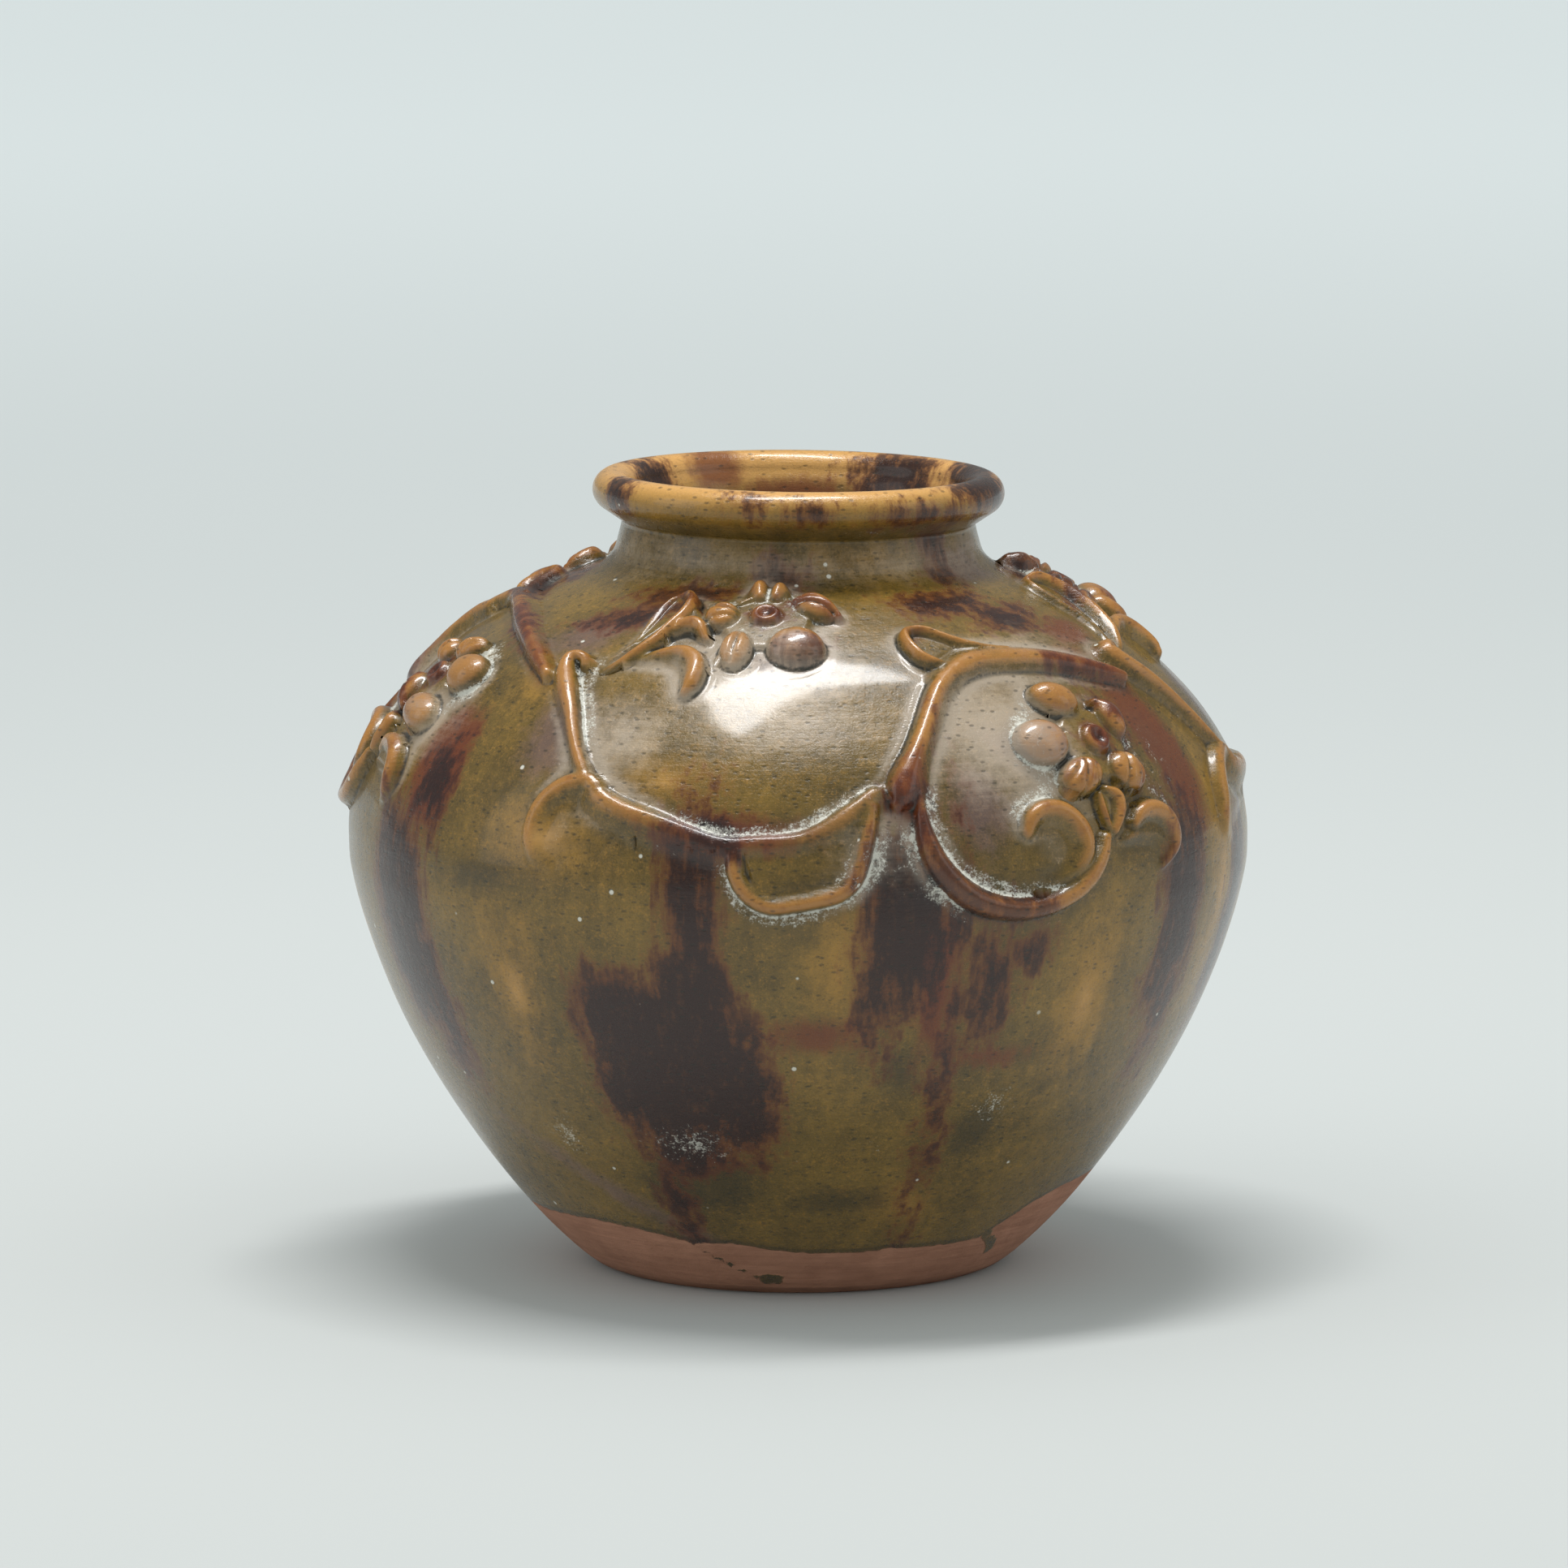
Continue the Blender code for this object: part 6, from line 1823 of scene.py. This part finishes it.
@dataclass(frozen=True)
class Glaze:
    """The iron glaze over clay, laid in steps from its ground up, and its gloss."""

    name: str
    roughness: float = 0.28
    coat: float = 0.4
    coat_thick: float = 0.4
    coat_roughness: float = 0.1
    index: float = 1.45
    clay_roughness: float = 0.86

    @staticmethod
    def iron(work: Work) -> None:
        """The amber of the relief, and the red and brown where iron ran."""
        work.keep("thick", work.reads["near"].step(1.4, 3.2))
        ochre = work.keep("ochre", work.mix(crest=0.8, thick=0.6, patch=0.25, fleck=0.2).step(0.1, 1.1))
        work.lay(Hue.AMBER, ochre * 0.68)
        work.lay(Hue.RED, ochre * work.mix(patch=0.7, fleck=0.6, cloud=0.5).step(-0.2, 1.1) * 0.8)
        work.keep("ragged", work.mix(patch=2.2, runs=4.4, fleck=1.6, dust=0.4))
        for coat in IRON_COATS:
            work.coat(coat)
        deep = work.keep("deep", work.mix(brown=1, ragged=1.8).step(-3.0, 4.0))
        streaky = work.mix(runs=1.1, fleck=0.5, grit=0.6).step(0.0, 1.5) * 0.6
        work.lay(Hue.BROWN, deep * (0.96 - streaky - ochre * 0.35))

    @staticmethod
    def age(work: Work) -> None:
        """The pale weathering beside the relief, partly painted sheen, with painted light round the neck,
        the pools in its creases, and the crust of burial.
        """
        reads = work.reads
        work.keep("beside", reads["near"].bell(0.7, 0.7))
        # Painted sheen over the pale weathering: beside the relief and on the shoulder it stands in for
        # soft reflections of the lamps, round the neck for light under the lip
        sheen = work.mix(haze=0.12, beside=1.3, crest=-0.6, turning=0.45, patch=0.5, fleck=0.5)
        work.lay(Hue.HAZE, sheen.step(0.0, 2.6) * (0.66 - reads["deep"] * 0.3))
        work.coat(POOLS)
        edges = work.mix(beside=1.6, crest=-1.4, crease=1).step(0.2, 1.8)
        crusted = edges * 0.45 + reads["crust"].step(-5, 2.0) * 0.55
        veil = work.keep("veil", crusted * work.mix(patch=0.4, fleck=0.7).step(-1.3, 0.9))
        work.lay(Hue.SLATE, veil * 0.3)
        work.keep("crusted", crusted + reads["crease"].step(0.1, 0.6) * reads["crust"].step(-5, 1) * 0.4)
        flakes = work.mix(crusted=1, fleck=0.55, patch=0.35, dust=0.4, grit=0.35).step(0.8, 1.4)
        loose = work.mix(-0.75, speck=0.07, grit=0.7, dust=0.4, fleck=0.3).step(0.0, 0.3)
        work.lay(Hue.CRUST, (work.keep("flakes", flakes) | loose * 0.7) * 0.8)

    @staticmethod
    def spot(work: Work, spots: Spots) -> None:
        """Strews spots."""
        away, cell = work.nodes.spots(work.nodes.stretched(work.place, spots.stretch), spots.size)
        made = work.keep(spots.name, away.step(*spots.distance) * cell.step(*spots.chance))
        work.lay(spots.hue, made * spots.strength)

    @staticmethod
    def foot(work: Work) -> None:
        """The bare clay below the glaze, and the dark rim between them."""
        clay = work.nodes.blend(work.mix(turning=0.5, patch=0.5).step(-1, 1), colour(*Hue.CLAY_DARK.value),
                                colour(*Hue.CLAY.value))
        bare = work.keep("uncovered", work.mix(bare=1, patch=0.8, fleck=0.5).step(-0.25, 0.25))
        work.lay(Hue.GREEN, work.mix(bare=1, patch=0.8).bell(-0.9, 1.6) * 0.5)
        work.lay(clay, bare)

    def make(self) -> bpy.types.Material:
        """Builds the material.

        Returns:
            The material.
        """
        work = Work(self.name, Hue.DARK)
        for coat in GROUND_COATS:
            work.coat(coat)
        self.iron(work)
        self.age(work)
        for spots in SPOTS:
            self.spot(work, spots)
        self.foot(work)

        reads = work.reads
        bare, dull = reads["uncovered"], reads["flakes"] * 0.4 + reads["veil"] * 0.1
        rough = dull + self.roughness + reads["fleck"] * 0.04 + reads["turning"] * 0.03
        work.keep("ribs", reads["turning"] * 0.04 * (1 + bare))
        height = work.mix(dust=0.012, grit=0.03, fleck=0.04, patch=0.09, ribs=1, flakes=0.06, specks=-0.05,
                          pits=-0.2, uncovered=-0.25)
        bump = work.nodes.add("ShaderNodeBump", {}, {"Strength": 1.0, "Distance": MM, "Height": height},
                              "Normal")
        work.nodes.fill(work.nodes.shader, {
            "Base Color": work.laid, "Roughness": rough + bare * (self.clay_roughness - rough),
            "Normal": bump, "IOR": self.index,
            "Coat Weight": (1 - bare) * (1 - dull) * (reads["thick"] * self.coat_thick + self.coat),
            "Coat Roughness": self.coat_roughness})
        return work.nodes.material


# ---- the studio -----------------------------------------------------------------------------------


@dataclass
class Studio:
    """The pale floor, the soft lamps and the camera."""

    camera_place: tuple[float, float, float] = (-0.0039, -2.6, 0.5101)
    camera_pitch: float = 8.34
    focal: float = 12014.0
    sensor: float = 36.0
    floor_side: float = 40.0
    # The room's strength for light that falls, and in reflections, where it would veil the glaze
    fill: float = 1.15
    reflected: float = 0.32
    room: tuple[float, float, float] = (224, 230, 230)
    paper: Sequence[tuple[float, float, float]] = ((177, 180, 179), (181, 183, 181))
    # The far paper is painted paler than the near one: painted light in place of the lamps' light, which
    # falls only near the jar
    far_paper: tuple[float, float, float] = (232, 236, 236)
    # The distances behind the jar, in metres, between which the paper grows paler: painted light where the
    # lamps' light fades
    paling: tuple[float, float] = (-0.2, 4.0)
    mottle_size: float = 900.0
    far_clip: float = 100.0
    # Each lamp: its place, its aim, its size in metres and its power in watts
    lamps: dict[str, tuple] = field(default_factory=lambda: {
        "soft_box_above": ((-0.03, 0.03, 1.75), (-0.01, 0, 0.1), (0.9, 0.28), 23.0),
        "soft_box_left": ((-1.7, -0.5, 0.75), (0, 0, 0.12), (0.9, 1.3), 3.5),
        "soft_box_right": ((1.7, -0.5, 0.75), (0, 0, 0.12), (0.9, 1.3), 2.5)})

    def floor(self) -> bpy.types.Object:
        """A wide pale paper, painted paler far behind the jar where the lamps' light doesn't reach: painted
        light that evens out the background.

        Returns:
            The floor.
        """
        bpy.ops.object.select_all(action="DESELECT")
        bpy.ops.mesh.primitive_plane_add(size=self.floor_side, location=(0, 0, 0))
        ground = bpy.context.object
        ground.name = "studio_floor"
        nodes = Nodes("studio_paper")
        place = nodes.place()
        axes = nodes.add("ShaderNodeSeparateXYZ", {}, {0: place})
        depth = Wire(nodes, axes.socket.node.outputs[1])
        mottle = nodes.noise(place, self.mottle_size, 2).step(-1.5, 1.5)
        near = nodes.blend(mottle, *(colour(*tint) for tint in self.paper))
        # Painted light: the paper grows paler far behind the jar, where only the room lights it
        pale = nodes.blend(depth.step(*self.paling), near, colour(*self.far_paper))
        nodes.fill(nodes.shader, {"Base Color": pale, "Roughness": 0.9, "Specular IOR Level": 0.1})
        ground.data.materials.append(nodes.material)
        return ground

    @staticmethod
    def lamp(name: str, place: Sequence[float], aim: Sequence[float], size: tuple[float, float],
             power: float) -> None:
        """A soft box.

        Args:
            name: Its name.
            place: Where it hangs.
            aim: What it points at.
            size: Its sides.
            power: Its power in watts.
        """
        bpy.ops.object.select_all(action="DESELECT")
        bpy.ops.object.light_add(type="AREA", location=place)
        lamp = bpy.context.object
        lamp.name = name
        lamp.data.shape = "RECTANGLE"
        lamp.data.size, lamp.data.size_y = size
        lamp.data.energy = power
        lamp.rotation_euler = (Vector(aim) - Vector(place)).to_track_quat("-Z", "Y").to_euler()

    def world(self) -> None:
        """A pale room that fills the shadows."""
        world = bpy.data.worlds.new("studio_room")
        bpy.context.scene.world = world
        world.use_nodes = True
        back = world.node_tree.nodes["Background"]
        back.inputs["Color"].default_value = colour(*self.room)
        path = world.node_tree.nodes.new("ShaderNodeLightPath")
        dim = world.node_tree.nodes.new("ShaderNodeMapRange")
        dim.inputs["To Min"].default_value = self.fill
        dim.inputs["To Max"].default_value = self.reflected
        world.node_tree.links.new(path.outputs["Is Glossy Ray"], dim.inputs["Value"])
        world.node_tree.links.new(dim.outputs[0], back.inputs["Strength"])

    def camera(self) -> None:
        """The camera at the photograph's angle."""
        bpy.ops.object.camera_add(location=self.camera_place,
                                  rotation=((90 - self.camera_pitch) * DEGREE, 0, 0))
        camera = bpy.context.object
        camera.name = "photo_camera"
        camera.data.sensor_width = self.sensor
        camera.data.lens = self.focal / PHOTO_SIDE * self.sensor
        camera.data.clip_end = self.far_clip
        bpy.context.scene.camera = camera

    def build(self) -> None:
        """Sets up the whole studio."""
        self.floor()
        for name, lamp in self.lamps.items():
            self.lamp(name, *lamp)
        self.world()
        self.camera()
        bpy.context.scene.view_settings.view_transform = "Standard"


# ---- the jar --------------------------------------------------------------------------------------


@dataclass
class Jar:
    """The whole jar: its thrown pieces, the vine and their finishes."""

    wall: Wall = field(default_factory=Wall)
    slots: dict[str, Slot] = field(default_factory=lambda: {
        row["node"]: Slot(row["material_slot"]) for row in frame["record"]["subparts"]})

    def own(self, piece: bpy.types.Object, node: str, finish: bpy.types.Material) -> None:
        """Gives a piece its body and its finish, and hides the CAD node that it stands for.

        Args:
            piece: The piece.
            node: The CAD node that it stands for.
            finish: Its material.
        """
        piece.data.materials.clear()
        piece.data.materials.append(finish)
        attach(piece, BODY)
        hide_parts(node)
        log.info("%s stands for %s with %d faces", piece.name, node, len(piece.data.polygons))

    def build(self) -> None:
        """Makes every piece in order."""
        relief = Relief(self.wall)
        relief.draw(REPEATS)
        bench = Bench(self.wall, relief, GlazeMap())
        maker = VineMaker(bench)
        finishes = {slot: Glaze(slot.value).make() for slot in Slot}
        for repeat in REPEATS:
            for name, piece in maker.build(repeat).items():
                node = repeat.name(name)
                self.own(piece, node, finishes[self.slots[node]])
        thrown = {"jar_body": ThrownBody("thrown_body"), "neck_and_lip": Collar("collar_and_lip")}
        for node, turned in thrown.items():
            self.own(turned.build(bench), node, finishes[self.slots[node]])


def main() -> None:
    """Builds the jar and the studio."""
    logging.basicConfig(level=logging.INFO, format="%(message)s")
    Jar().build()
    Studio().build()


if __name__ == "__main__":
    main()
